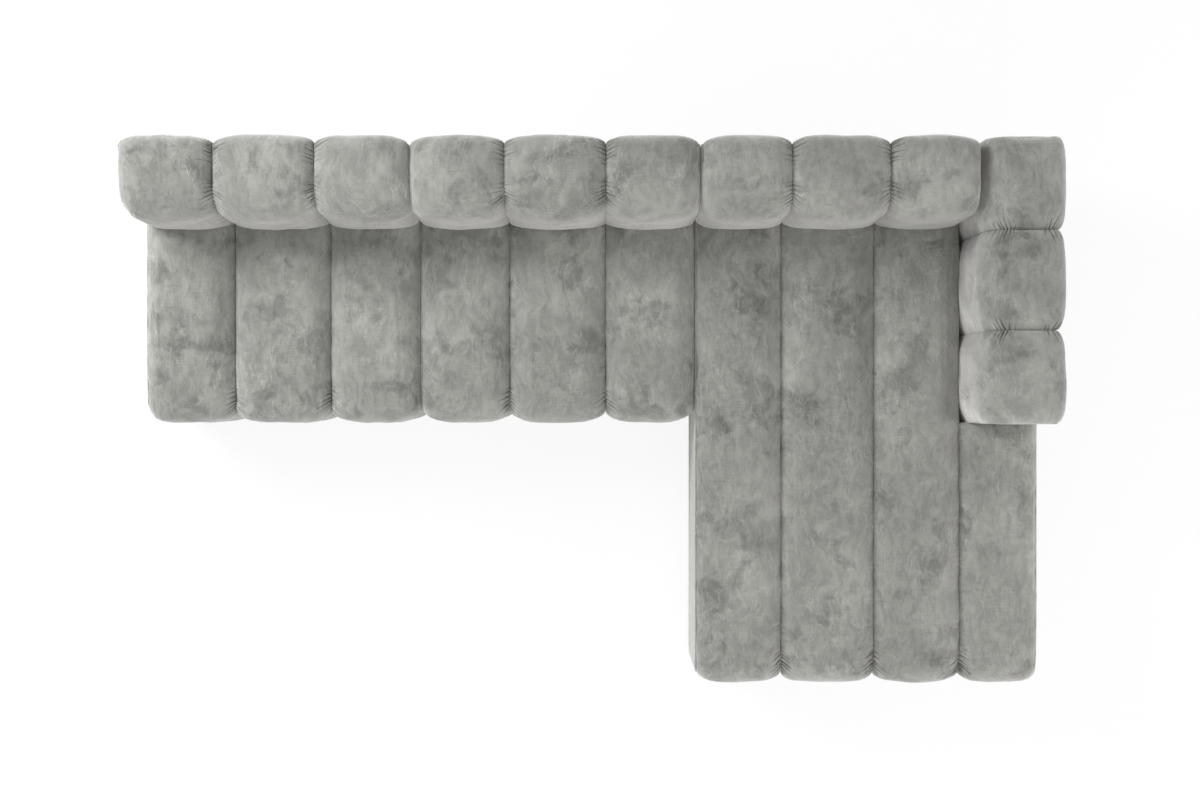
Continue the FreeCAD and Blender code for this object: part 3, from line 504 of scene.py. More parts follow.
def puff(pieces, cloth):
    """Let the stuffing push the velvet out as cloth, and keep its shape."""
    scene = bpy.context.scene
    start = [coordinates(piece.data) for piece in pieces]
    for piece in pieces:
        stuffing = piece.modifiers.new("stuffing", "CLOTH")
        settings = stuffing.settings
        settings.quality = 5
        settings.mass = 0.3
        settings.tension_stiffness = settings.compression_stiffness = 15
        settings.shear_stiffness = 5
        settings.bending_stiffness = 5
        settings.use_pressure = True
        settings.uniform_pressure_force = cloth.pressure
        settings.shrink_min = -cloth.slack
        settings.effector_weights.gravity = 0
        settings.vertex_group_mass = "held"
        stuffing.collision_settings.use_collision = False
        stuffing.point_cache.frame_start = 1
        stuffing.point_cache.frame_end = cloth.frames
    for step in range(1, cloth.frames + 1):
        scene.frame_set(step)
    graph = bpy.context.evaluated_depsgraph_get()
    ends = [coordinates(piece.evaluated_get(graph).data) for piece in pieces]
    for piece, before, after in zip(pieces, start, ends):
        shift = after - before
        far = np.linalg.norm(shift, axis=1, keepdims=True)
        shift *= np.minimum(1.0, cloth.swell / np.maximum(far, 1e-9))
        piece.modifiers.clear()
        move_points(piece.data, before + shift)
    scene.frame_set(1)


def keep_sides(piece, seams):
    """Keep each channel on its own side of its seams."""
    points = coordinates(piece.data)
    across = layer(piece.data, "across")
    hair = 0.0002
    for seam in seams:
        behind, ahead = across < seam.at - hair / 2, across > seam.at + hair / 2
        points[behind, 0] = np.minimum(points[behind, 0], seam.at - hair)
        points[ahead, 0] = np.maximum(points[ahead, 0], seam.at + hair)
    move_points(piece.data, points)


def apply_modifiers(piece):
    """Replace a piece's mesh by what its modifiers make of it."""
    graph = bpy.context.evaluated_depsgraph_get()
    finished = bpy.data.meshes.new_from_object(piece.evaluated_get(graph))
    piece.modifiers.clear()
    piece.data = finished
    piece.data.name = piece.name


def divide(piece, levels):
    """Replace a piece's mesh by its subdivision surface."""
    smooth = piece.modifiers.new("smooth", "SUBSURF")
    smooth.levels = smooth.render_levels = levels
    apply_modifiers(piece)


def normals_of(mesh):
    """A mesh's point normals as an array."""
    normals = np.empty(len(mesh.vertices) * 3, np.float32)
    mesh.vertex_normals.foreach_get("vector", normals)
    return normals.reshape(-1, 3).astype(np.float64)


def pleat_shape(offset):
    """Across a pleat: a valley between two low lips."""
    square = offset * offset
    return np.exp(-square) * (1 - 0.9 * square)


def gathers(pen, stretches):
    """The gathered stretches as places along a section."""
    return [(pen.place(mark) + past, *shape) for mark, past, *shape in stretches]


def gather(piece, seams, clusters, cloth):
    """Sink pleats into the velvet on both sides of each gathered seam, deepest in the clusters, and store
    painted shade for the pleats and beside the seams.
    """
    mesh = piece.data
    across, along, skin = (layer(mesh, name) for name in ("across", "along", "skin"))
    sink, line = np.zeros(len(across)), np.zeros(len(across))
    chance = random.Random(f"{piece.name} {cloth.seed}")
    gap = cloth.pleat_spacing
    for seam in (seam for seam in seams if seam.gathered):
        for side in (-1, 1):
            distance = (across - seam.at) * side
            near = np.nonzero((distance >= 0) & (distance < 2 * cloth.pleat_length) & (skin > 0.9))[0]
            away, reach = distance[near], along[near]
            if not len(near):
                continue
            # A thin painted shade line beside the seam
            line[near] = np.maximum(line[near], np.exp(-away / cloth.seam_shade_width))
            start = np.clip(away / (2 * cloth.seam_shade_width), 0, 1)
            for middle, spread, strength, slant in clusters:
                at = middle - spread * chance.uniform(*PLEAT["start"])
                while at < middle + spread:
                    fade = 1 - ((at - middle) / spread) ** 2
                    long = cloth.pleat_length * chance.uniform(*PLEAT["length"])
                    long *= END_LENGTH + (1 - END_LENGTH) * fade
                    deep = cloth.pleat_depth * chance.uniform(*PLEAT["depth"]) * strength
                    deep *= END_DEPTH + (1 - END_DEPTH) * fade
                    wide = gap * chance.uniform(*PLEAT["width"])
                    lean = slant + chance.uniform(*PLEAT["slant"]) + FAN * (at - middle) / spread
                    shape = pleat_shape((reach - at - lean * away) / wide)
                    sink[near] += deep * shape * start * np.clip(1 - (away / long) ** 2, 0, 1)
                    at += gap * chance.uniform(*PLEAT["step"])
            at, stop = reach.min(), reach.max()
            while at < stop:
                long = cloth.pleat_length * chance.uniform(*PUCKER["length"])
                deep = cloth.pucker_depth * chance.uniform(*PUCKER["depth"])
                shape = pleat_shape((reach - at) / (gap * chance.uniform(*PUCKER["width"])))
                sink[near] += deep * shape * start * np.clip(1 - away / long, 0, 1)
                at += gap * chance.uniform(*PUCKER["step"])
    move_points(mesh, coordinates(mesh) - normals_of(mesh) * sink[:, None])
    # Painted shade: darker in the pleats' valleys and in a thin line beside each seam, a little lighter on
    # the pleats' lips
    tuck = np.clip(sink / cloth.pleat_depth, -1, 1) + line
    mesh.attributes.new("tuck", "FLOAT", "POINT").data.foreach_set("value", tuck.astype(np.float32))


def make_uneven(piece, height, seed):
    """Raise and sink the visible skin a little, in broad soft lumps."""
    mesh = piece.data
    points, skin = coordinates(mesh), layer(mesh, "skin")
    chance = random.Random(seed)
    lumps = np.zeros(len(points))
    waves, shortest, longest = 16, 0.05, 0.16
    for _ in range(waves):
        way = np.array([chance.gauss(0, 1) for _ in range(3)])
        way *= 2 * math.pi / (np.linalg.norm(way) * chance.uniform(shortest, longest))
        lumps += np.sin(points @ way + chance.uniform(0, 2 * math.pi))
    move_points(mesh, points + normals_of(mesh) * (skin * lumps * height / math.sqrt(waves / 2))[:, None])


def finish_cover(piece, seams, clusters, cloth, place, body, nodes):
    """Divide, gather and place a puffed cover, and dress it."""
    keep_sides(piece, seams)
    divide(piece, 2)
    gather(piece, seams, clusters, cloth)
    make_uneven(piece, cloth.lump, f"{piece.name} {cloth.seed}")
    piece.vertex_groups.clear()
    piece.data.transform(place)
    piece.data.shade_smooth()
    dress(piece, "velvet", body, nodes)


def dress(piece, finish, body, nodes=()):
    """Give a finished piece its material and body, and hide the nodes that it stands for."""
    piece.data.materials.clear()
    piece.data.materials.append(material(finish))
    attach(piece, body)
    if nodes:
        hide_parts(*nodes)


def module_place(name):
    """From a module's own left rear corner to the sofa."""
    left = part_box(f"{name}_seat_cover")[0].x
    return Matrix.Translation((left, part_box(f"{name}_back_cover")[1].y, 0))


def arm_place():
    """From the arm's section, with its outer side at y 0 and its rear at x 0, to the sofa."""
    _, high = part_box("chaise_arm_cover")
    return Matrix.Translation((high.x, high.y, 0)) @ Matrix.Rotation(-math.pi / 2, 4, "Z")


def extent(node):
    """A node's size along each axis."""
    low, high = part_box(node)
    return high - low


def free_side(module, side):
    """Whether nothing stands beside a module there."""
    return (module, side) == ("left", "left")


def seam_places(width, sizes, inset):
    """Where the two ends and the seams of a cover lie, its middle channel a little wider."""
    side = (width - sizes.channel_extra) / CHANNELS
    return [inset, side, width - side, width - inset]


def back_seams(module, width, sizes):
    """The seams of a module's back cover."""
    first, *inner, last = seam_places(width, sizes, sizes.panel)
    ends = [cover_end(module, side, at, sizes.back_seam, sizes)
            for side, at in (("left", first), ("right", last))]
    return ends[:1] + [Seam(at, sizes.back_seam, sizes, gathered=True) for at in inner] + ends[1:]


def cover_end(module, side, at, depth, sizes):
    """An end of a back or seat cover: rolled where it is free, else drawn in as at a seam."""
    if free_side(module, side):
        return Seam(sizes.free_panel, sizes.end_seam, sizes, free=True)
    return Seam(at, depth, sizes)


def seat_seams(module, width, sizes):
    """The seams of the channels of a seat as wide as its back."""
    first, *inner, last = seam_places(width, sizes, sizes.panel)
    if module == "chaise":
        right = Seam(width, sizes.seat_seam, sizes, gathered=True)
    else:
        right = cover_end(module, "right", last, sizes.seat_seam, sizes)
    seams = [Seam(at, sizes.seat_seam, sizes, gathered=True) for at in inner]
    return [cover_end(module, "left", first, sizes.seat_seam, sizes), *seams, right]


def finish_covers(made, part, cloth):
    """Puff up, finish and place the covers of the modules' backs or seats."""
    puff([piece for _, piece, _, _ in made], cloth)
    for module, piece, seams, clusters in made:
        finish_cover(piece, seams, clusters, cloth, module_place(module), module, [f"{module}_{part}_cover"])


class SOFA_OT_back_covers(bpy.types.Operator):
    """The three back covers, each over the back's top and down its rear"""
    bl_idname = "sofa.back_covers"
    bl_label = "Back covers"

    def execute(self, context):
        sizes, cloth = context.scene.sofa_covers, context.scene.sofa_cloth
        made = []
        for module in MODULES:
            width = extent(f"{module}_back_cover").x
            pen = back_section(module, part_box(f"{module}_seat_cover")[1].z, sizes, cloth)
            seams = back_seams(module, width, sizes)
            clusters = gathers(pen, BACK_GATHERS)
            piece = rough_cover(f"{module}_back_velvet", pen, seams, sizes, cloth,
                                seat_seams(module, width, sizes))
            made.append((module, piece, seams, clusters))
        finish_covers(made, "back", cloth)
        return {"FINISHED"}


class SOFA_OT_seat_covers(bpy.types.Operator):
    """The three seat covers, the chaise's with a fourth channel in front of the arm"""
    bl_idname = "sofa.seat_covers"
    bl_label = "Seat covers"

    def execute(self, context):
        sizes, cloth = context.scene.sofa_covers, context.scene.sofa_cloth
        made = []
        for module in MODULES:
            pen = module_seat_section(module, sizes, cloth)
            seams = seat_seams(module, extent(f"{module}_back_cover").x, sizes)
            clusters = gathers(pen, SEAT_GATHERS)
            piece = rough_cover(f"{module}_seat_velvet", pen, seams, sizes, cloth)
            made.append((module, piece, seams, clusters))
        pen = corner_section(sizes, cloth)
        side = extent("chaise_seat_cover").x - sizes.free_panel
        chaise_right = seams[-1]
        ends = [chaise_right, Seam(side, sizes.end_seam, sizes, free=True)]
        clusters = gathers(pen, SEAT_GATHERS)
        piece = rough_cover("chaise_corner_velvet", pen, ends, sizes, cloth)
        made.append(("chaise", piece, ends, clusters))
        finish_covers(made, "seat", cloth)
        return {"FINISHED"}


class SOFA_OT_arm_cover(bpy.types.Operator):
    """The arm cover, three channels from the rear corner to the arm's front"""
    bl_idname = "sofa.arm_cover"
    bl_label = "Arm cover"

    def execute(self, context):
        sizes, cloth = context.scene.sofa_covers, context.scene.sofa_cloth
        low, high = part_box("chaise_arm_cover")
        pen = arm_section(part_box("chaise_arm_foam")[0].z, sizes, cloth)
        first, *inner, last = seam_places(high.y - low.y, sizes, sizes.free_panel)
        share = sizes.arm_face_share
        seams = [Seam(at, sizes.back_seam, sizes, gathered=True, face_share=share) for at in inner]
        ends = [Seam(at, sizes.end_seam, sizes, free=True, face_share=share) for at in (first, last)]
        seams = ends[:1] + seams + ends[1:]
        clusters = gathers(pen, ARM_GATHERS)
        piece = rough_cover("chaise_arm_velvet", pen, seams, sizes, cloth)
        puff([piece], cloth)
        finish_cover(piece, seams, clusters, cloth, arm_place(), "chaise", ["chaise_arm_cover"])
        return {"FINISHED"}


# Side panels: velvet over the boards that close a module's sides

# A panel's board, the rings inside its outline, its cells, the least gap between the outline's points,
# the width of its rounded border as a share of its height, and how gradually it swells
PANEL_THICK = 0.002
PANEL_INSETS = (0.001, 0.002, 0.004)
PANEL_CELL = 0.03
PANEL_POINT_GAP = 0.005
PANEL_ROUND = 1.5
SWELL_LENGTH = 0.09


def end_line(pen, end, tuck):
    """The visible side of a section, drawn in as at an end of its cover but for a small tuck."""
    line = []
    for vert, out in zip(pen.path, pen.outward):
        if vert[pen.skin] > 0.5:
            place = vert.co - out * (end.draw(0, out) - tuck)
            line.append((place.y, place.z))
    pen.mesh.free()
    return line


def side_outline(module, back_seam, seat_seam, sizes, cloth):
    """The outline of a module's side: its back, then its seat."""
    seat_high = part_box(f"{module}_seat_cover")[1].z - sizes.crown
    back = end_line(back_section(module, seat_high, sizes, cloth), back_seam, sizes.panel_tuck)
    seat = end_line(module_seat_section(module, sizes, cloth), seat_seam, sizes.panel_tuck)
    level = seat_high - seat_seam.depth
    middle = -extent(f"{module}_back_cover").y / 2
    back = [(y, z) for y, z in back if y > middle or z > level]
    face = back[-1][0]
    return back + [(face, level)] + [(y, z) for y, z in seat if y < face - cloth.fine_row]


def thinned(line, gap):
    """An outline without the points that crowd together."""
    kept = line[:1]
    for point in line[1:]:
        if math.dist(point, kept[-1]) >= gap:
            kept.append(point)
    return kept


def border_distance(points, line):
    """How far each point of a flat panel is from its outline."""
    corners = np.array(line)
    nearest = np.full(len(points), np.inf)
    for start, end in zip(corners, np.roll(corners, -1, axis=0)):
        way = end - start
        share = np.clip(((points - start) @ way) / max(way @ way, 1e-12), 0, 1)
        nearest = np.minimum(nearest, np.linalg.norm(points - start - share[:, None] * way, axis=1))
    return nearest


def cut_cells(mesh, at, line, windows):
    """Cut a flat panel into cells, and take its windows out."""
    low, high = (Vector(map(choose, zip(*line))) for choose in (min, max))
    cuts = [(axis + 1, low[axis] + PANEL_CELL * step) for axis in (0, 1)
            for step in range(1, int((high[axis] - low[axis]) / PANEL_CELL) + 1)]
    for middle, width, bottom, top in windows:
        cuts += [(1, middle - width / 2), (1, middle + width / 2), (2, bottom), (2, top)]
    for axis, place in cuts:
        spot, way = Vector((at, 0, 0)), Vector((0, 0, 0))
        spot[axis], way[axis] = place, 1.0
        everything = mesh.verts[:] + mesh.edges[:] + mesh.faces[:]
        bmesh.ops.bisect_plane(mesh, geom=everything, dist=1e-5, plane_co=spot, plane_no=way)
    for middle, width, bottom, top in windows:
        centres = [(face, face.calc_center_median()) for face in mesh.faces]
        inside = [face for face, spot in centres
                  if abs(spot.y - middle) < width / 2 and bottom < spot.z < top]
        bmesh.ops.delete(mesh, geom=inside, context="FACES")


def panel(name, line, at, facing, height, swell, windows=()):
    """A padded panel on a side: its outline filled, cut into cells, rounded at its border and swollen."""
    mesh = bmesh.new()
    line = thinned(line, PANEL_POINT_GAP)
    verts = [mesh.verts.new((at, y, z)) for y, z in line]
    edges = [mesh.edges.new((start, end)) for start, end in zip(verts, verts[1:] + verts[:1])]
    face = bmesh.ops.contextual_create(mesh, geom=edges)["faces"]
    for inset in PANEL_INSETS:
        bmesh.ops.inset_region(mesh, faces=face, thickness=inset, use_boundary=True)
    cut_cells(mesh, at, line, windows)
    bmesh.ops.recalc_face_normals(mesh, faces=mesh.faces)
    if sum(part.normal.x * part.calc_area() for part in mesh.faces) * facing < 0:
        bmesh.ops.reverse_faces(mesh, faces=mesh.faces)
    rim = [edge for edge in mesh.edges if edge.is_boundary]
    skirt = verts_of(bmesh.ops.extrude_edge_only(mesh, edges=rim)["geom"])
    bmesh.ops.translate(mesh, verts=skirt, vec=(-facing * PANEL_THICK, 0, 0))
    mesh.verts.index_update()
    hidden = [vert.index for vert in skirt]
    piece = new_object(name, mesh)
    points = coordinates(piece.data)
    away = border_distance(points[:, 1:], line)
    away[hidden] = 0
    rise = height * np.sqrt(1 - (1 - np.clip(away / (height * PANEL_ROUND), 0, 1)) ** 2)
    points[:, 0] += facing * (rise + swell * (1 - np.exp(-away / SWELL_LENGTH)))
    move_points(piece.data, points)
    body = piece.modifiers.new("board", "SOLIDIFY")
    body.thickness = PANEL_THICK
    body.offset = -1
    apply_modifiers(piece)
    piece.data.shade_smooth()
    return piece


def finish_panel(piece, place, body, nodes):
    """Place and dress a panel."""
    piece.data.transform(place)
    dress(piece, "velvet_panel", body, nodes)


class SOFA_OT_side_panels(bpy.types.Operator):
    """Velvet panels at the modules' sides, at both ends of the arm and beside the chaise"""
    bl_idname = "sofa.side_panels"
    bl_label = "Side panels"

    def execute(self, context):
        sizes, cloth, inner = context.scene.sofa_covers, context.scene.sofa_cloth, context.scene.sofa_inner
        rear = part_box("left_back_cover")[1].y
        centres = [end.y - rear + side * inner.hook_width / 2
                   for end, side in zip(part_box("left_hooks"), (1, -1))]
        windows = [(centre, inner.window_width, inner.window_low, inner.window_high) for centre in centres]
        for module in MODULES:
            width = extent(f"{module}_back_cover").x
            for side, at, facing in (("left", 0.0, -1), ("right", width, 1)):
                if (module, side) == ("chaise", "right"):
                    continue
                free = free_side(module, side)
                height, swell = (sizes.free_panel, sizes.panel_swell) if free else (sizes.panel, 0.0)
                back = cover_end(module, side, at, sizes.back_seam, sizes)
                seat = cover_end(module, side, at, sizes.seat_seam, sizes)
                line = side_outline(module, back, seat, sizes, cloth)
                piece = panel(f"{module}_{side}_panel", line, at - facing * height, facing, height, swell,
                              () if free else windows)
                finish_panel(piece, module_place(module), module, [f"{module}_end_boards"])
        self.chaise_side(sizes, cloth)
        self.arm_ends(sizes, cloth)
        self.arm_side(sizes)
        return {"FINISHED"}

    def chaise_side(self, sizes, cloth):
        """The panel beside the chaise, in front of the arm."""
        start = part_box("chaise_arm_cover")[0].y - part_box("chaise_back_cover")[1].y
        at = extent("chaise_seat_cover").x - sizes.free_panel
        end = Seam(at, sizes.end_seam, sizes, free=True)
        line = end_line(corner_section(sizes, cloth), end, sizes.panel_tuck)
        line += [(start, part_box("chaise_seat_cover")[0].z)]
        piece = panel("chaise_right_panel", line, at, 1, sizes.free_panel, sizes.panel_swell)
        finish_panel(piece, module_place("chaise"), "chaise", ["chaise_end_boards"])

    def arm_ends(self, sizes, cloth):
        """The panels at the arm's rear and front, which widen to their foot below the arm's cover."""
        low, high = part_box("chaise_arm_cover")
        rest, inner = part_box("chaise_arm_foam")[0].z, low.x - high.x - sizes.panel + sizes.free_panel
        edge = sizes.free_panel
        for side, at, facing in (("rear", edge, -1), ("front", high.y - low.y - edge, 1)):
            end = Seam(at, sizes.end_seam, sizes, free=True, face_share=sizes.arm_face_share)
            line = end_line(arm_section(low.z, sizes, cloth), end, sizes.panel_tuck)
            line = [(y, z) for y, z in line if y > inner / 2 or z > rest + sizes.panel_rise]
            line += [(inner, rest), (inner, low.z)]
            piece = panel(f"chaise_arm_{side}_panel", line, at, facing, edge, sizes.panel_swell / 2)
            finish_panel(piece, arm_place(), "chaise", ["chaise_arm_end_boards"])

    def arm_side(self, sizes):
        """The strip that turns in from the arm's rear panel, beside the end of the back."""
        foot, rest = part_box("chaise_arm_cover")[0].z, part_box("chaise_arm_foam")[0].z
        top = rest + sizes.panel_rise
        strip = [(0, foot), (0, rest), (-sizes.panel, top), (-sizes.wall, top), (-sizes.wall, foot)]
        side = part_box("chaise_arm_cover")[0].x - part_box("chaise_seat_cover")[0].x
        at = side - sizes.panel + 2 * sizes.free_panel
        piece = panel("chaise_arm_side_panel", strip, at, -1, sizes.free_panel, 0.0)
        finish_panel(piece, module_place("chaise"), "chaise", ["chaise_arm_end_boards"])


# Inside the covers, and the feet


def block(name, corners, low, high, edge):
    """A foam block: an outline seen from above, raised and rounded at its edges."""
    mesh = bmesh.new()
    verts = [mesh.verts.new((x, y, low)) for x, y in corners]
    face = mesh.faces.new(verts)
    raised = verts_of(bmesh.ops.extrude_face_region(mesh, geom=[face])["geom"])
    bmesh.ops.translate(mesh, verts=raised, vec=(0, 0, high - low))
    bmesh.ops.recalc_face_normals(mesh, faces=mesh.faces)
    bmesh.ops.bevel(mesh, geom=mesh.edges[:], offset=edge, affect="EDGES", segments=3, profile=0.5,
                    material=-1)
    piece = new_object(name, mesh)
    piece.data.shade_smooth()
    return piece


class SOFA_OT_foam_blocks(bpy.types.Operator):
    """The foam blocks of the seats, the backs and the arm"""
    bl_idname = "sofa.foam_blocks"
    bl_label = "Foam blocks"

    def execute(self, context):
        edge = context.scene.sofa_inner.foam_edge
        names = [f"{module}_{part}_foam" for module in MODULES for part in ("seat", "back")]
        for name in names + ["chaise_arm_foam"]:
            low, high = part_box(name)
            corners = [(low.x, low.y), (high.x, low.y), (high.x, high.y), (low.x, high.y)]
            if name == "chaise_seat_foam":
                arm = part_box("chaise_arm_cover")[0]
                corners[2:3] = [(high.x, arm.y), (arm.x, arm.y), (arm.x, high.y)]
            piece = block(f"{name}_block", corners, low.z, high.z, edge)
            dress(piece, "foam", name.split("_")[0], [name])
        return {"FINISHED"}


def zigzag(start, line, bars, pitch, half):
    """The route of a zigzag spring: bars joined by half turns, as places ahead and to the side."""
    route = []
    for bar in range(bars + 1):
        side = 1 if bar % 2 else -1
        route += [(start + bar * pitch, line + side * half), (start + bar * pitch, line - side * half)]
        if bar < bars:
            for degrees in (150, 120, 90, 60, 30):
                angle = math.radians(degrees)
                ahead = start + (bar + 0.5 + math.cos(angle) / 2) * pitch
                route.append((ahead, line - side * (half + math.sin(angle) * pitch / 2)))
    return route


def bent_wires(name, routes, diameter):
    """A mesh of round wires along routes."""
    wires = bpy.data.curves.new(name, "CURVE")
    wires.dimensions = "3D"
    wires.bevel_depth = diameter / 2
    wires.bevel_resolution = 2
    wires.use_fill_caps = True
    for route in routes:
        spline = wires.splines.new("POLY")
        spline.points.add(len(route) - 1)
        for point, spot in zip(spline.points, route):
            point.co = (*spot, 1)
    bent = link_object(name, wires)
    bpy.context.view_layer.update()
    graph = bpy.context.evaluated_depsgraph_get()
    data = bpy.data.meshes.new_from_object(bent.evaluated_get(graph))
    bpy.data.objects.remove(bent)
    return data


class SOFA_OT_springs(bpy.types.Operator):
    """The zigzag springs under the seats, front to back and, in the chaise, from side to side"""
    bl_idname = "sofa.springs"
    bl_label = "Springs"

    def execute(self, context):
        inner = context.scene.sofa_inner
        wire, half = inner.spring_wire, inner.spring_bar / 2
        for module, count in SPRING_COUNTS.items():
            node = f"{module}_seat_springs"
            low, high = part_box(node)
            ahead, sideways = ("x", "y") if module == "chaise" else ("y", "x")
            span = getattr(high, ahead) - getattr(low, ahead) - wire
            bars = round(span / inner.spring_pitch)
            pitch = span / bars
            margin = half + (pitch + wire) / 2
            first, last = getattr(low, sideways) + margin, getattr(high, sideways) - margin
            level = (low.z + high.z) / 2
            routes = []
            for spot in range(count):
                line = first + (last - first) * spot / (count - 1)
                route = zigzag(getattr(low, ahead) + wire / 2, line, bars, pitch, half)
                routes.append([(*(place if ahead == "x" else place[::-1]), level) for place in route])
            piece = link_object(f"{module}_zigzag_springs", bent_wires(node, routes, wire))
            piece.data.shade_smooth()
            dress(piece, "spring_steel", module, [node])
        return {"FINISHED"}


def foot_profile(inner, tall):
    """Half section of a foot, from the top of its bore out and up to its top, with a low ring."""
    edge, ring, screw = 0.0015, 0.0012, 0.0027
    top, floor, bore = inner.foot_top, inner.foot_floor, inner.foot_bore
    return [(bore, inner.foot_bore_depth), (bore, edge), (bore + edge, 0), (floor - edge, 0), (floor, edge),
            (floor + ring, tall * 0.3), (floor, tall * 0.34), (top - 0.001, tall - 4 * edge),
            (top, tall - 3 * edge), (top, tall - edge), (top - edge, tall), (screw, tall)]


class SOFA_OT_feet(bpy.types.Operator):
    """The moulded feet, each turned from its half section"""
    bl_idname = "sofa.feet"
    bl_label = "Feet"

    def execute(self, context):
        inner = context.scene.sofa_inner
        for module in MODULES:
            low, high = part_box(f"{module}_feet")
            reach = inner.foot_top
            columns = (low.x + reach, high.x - reach)
            rows = [low.y + reach, high.y - reach]
            if module == "chaise":
                rows.insert(1, sum(rows) / 2)
            profile = foot_profile(inner, high.z - low.z)
            mesh = bmesh.new()
            for spot in (Vector((x, y, 0)) for x in columns for y in rows):
                verts = [mesh.verts.new(spot + Vector((radius, 0, z))) for radius, z in profile]
                edges = [mesh.edges.new(pair) for pair in zip(verts, verts[1:])]
                edges.append(mesh.edges.new((verts[-1], verts[0])))
                bmesh.ops.spin(mesh, geom=verts + edges, cent=spot, axis=(0, 0, 1), steps=32,
                               angle=2 * math.pi, use_merge=True)
            bmesh.ops.remove_doubles(mesh, verts=mesh.verts, dist=1e-6)
            bmesh.ops.recalc_face_normals(mesh, faces=mesh.faces)
            piece = new_object(f"{module}_moulded_feet", mesh)
            piece.data.shade_smooth()
            piece.data.set_sharp_from_angle(angle=math.radians(40))
            dress(piece, "foot_plastic", module, [f"{module}_feet"])
        return {"FINISHED"}


# Materials

VELVET_BUMP = 0.6
VELVET_RELIEF = 0.004
GRAIN_RELIEF = 0.0006

# What the parts of the velvet's tone come to on average, and how much the painted shade of the pleats and
# seam lines darkens it
MEAN_TONE = 0.46
PAINTED_SHADE = 0.5

# Each grained finish: its colour, the stretch, scale and depth of its grain, how rough it is, how much of
# the grain shows as bumps and how metallic it is
GRAINED = {
    "dust_cloth": ("dust", (1, 1, 1), 900.0, 0.9, 0.9, 0.6, 0.0),
    "foam": ("foam", (1, 1, 1), 420.0, 0.4, 0.9, 0.7, 0.0),
    "frame_wood": ("wood", (5, 0.35, 5), 14.0, 0.9, 0.7, 0.4, 0.0),
    "board": ("board", (0.4, 4, 10), 12.0, 0.7, 0.6, 0.3, 0.0),
    "spring_steel": ("spring", (1, 1, 1), 120.0, 0.5, 0.38, 0.15, 1.0),
    "screw_steel": ("steel", (1, 1, 1), 260.0, 0.4, 0.32, 0.1, 1.0),
    "bracket_steel": ("steel", (1, 1, 6), 90.0, 0.45, 0.36, 0.15, 1.0),
    "foot_plastic": ("foot", (1, 1, 1), 600.0, 0.4, 0.45, 0.25, 0.0),
}

# The finish of a node of the frame, by the first of these words in its name
FRAME_FINISHES = {
    "rail": "frame_wood", "frame": "frame_wood", "blocks": "frame_wood", "deck": "board", "boards": "board",
    "dust": "dust_cloth", "screws": "screw_steel", "clips": "spring_steel", "hooks": "bracket_steel",
    "pockets": "bracket_steel", "springs": "spring_steel", "feet": "foot_plastic", "foam": "foam",
    "cover": "velvet",
}


def put(tree, kind, settings=(), inputs=()):
    """A shader node with its settings and plain inputs."""
    made = tree.nodes.new(kind)
    for name, value in dict(settings).items():
        setattr(made, name, value)
    for name, value in dict(inputs).items():
        made.inputs[name].default_value = value
    return made


def noise(tree, vector, scale, detail=2.0, rough=0.5):
    """A noise texture over a vector."""
    made = put(tree, "ShaderNodeTexNoise", inputs={"Scale": scale, "Detail": detail, "Roughness": rough})
    tree.links.new(vector, made.inputs["Vector"])
    return made


def between(tree, value, low, high, to_low=0.0, to_high=1.0, soft=True):
    """A value mapped from one range to another."""
    made = put(tree, "ShaderNodeMapRange", {"interpolation_type": "SMOOTHSTEP" if soft else "LINEAR"},
               {"From Min": low, "From Max": high, "To Min": to_low, "To Max": to_high})
    tree.links.new(value, made.inputs["Value"])
    return made.outputs["Result"]


def combine(tree, operation, first, second):
    """Two values put together; either may be a plain number."""
    made = put(tree, "ShaderNodeMath", {"operation": operation})
    for socket, value in zip(made.inputs, (first, second)):
        if isinstance(value, (int, float)):
            socket.default_value = value
        else:
            tree.links.new(value, socket)
    return made.outputs["Value"]


def pattern(name, inputs):
    """A node group that gives colour, roughness and height over a vector, with its two end nodes."""
    tree = bpy.data.node_groups.new(name, "ShaderNodeTree")
    outputs = {"Color": "Color", "Roughness": "Float", "Height": "Float"}
    for way, sockets in (("INPUT", {"Vector": "Vector", **inputs}), ("OUTPUT", outputs)):
        for socket, kind in sockets.items():
            tree.interface.new_socket(socket, in_out=way, socket_type=f"NodeSocket{kind}")
    return tree, tree.nodes.new("NodeGroupInput"), tree.nodes.new("NodeGroupOutput")


def weighted(tree, parts):
    """The sum of values, each with its weight."""
    total = 0.0
    for part, weight in parts:
        total = combine(tree, "ADD", combine(tree, "MULTIPLY", part, weight), total)
    return total


def laid(tree, vector, stretch, turn=0.0):
    """A vector turned about the vertical and stretched, for a pattern with a direction."""
    made = put(tree, "ShaderNodeMapping", inputs={"Rotation": (0, 0, turn), "Scale": stretch})
    tree.links.new(vector, made.inputs["Vector"])
    return made.outputs["Vector"]


def patches(tree, vector, scale, low, high, detail=2.0, rough=0.5):
    """Soft patches: noise that goes from 0 to 1 between two of its values."""
    return between(tree, noise(tree, vector, scale, detail, rough).outputs["Fac"], low, high)


def crushed(tree, vector):
    """A vector pushed about by noise, which crushes the patterns laid over it."""
    centred = put(tree, "ShaderNodeVectorMath", {"operation": "SUBTRACT"}, {1: (0.5, 0.5, 0.5)})
    tree.links.new(noise(tree, vector, 9.0, 3.0).outputs["Color"], centred.inputs[0])
    scaled = put(tree, "ShaderNodeVectorMath", {"operation": "SCALE"}, {"Scale": 0.09})
    tree.links.new(centred.outputs["Vector"], scaled.inputs[0])
    pushed = put(tree, "ShaderNodeVectorMath", {"operation": "ADD"})
    tree.links.new(vector, pushed.inputs[0])
    tree.links.new(scaled.outputs["Vector"], pushed.inputs[1])
    return pushed.outputs["Vector"]


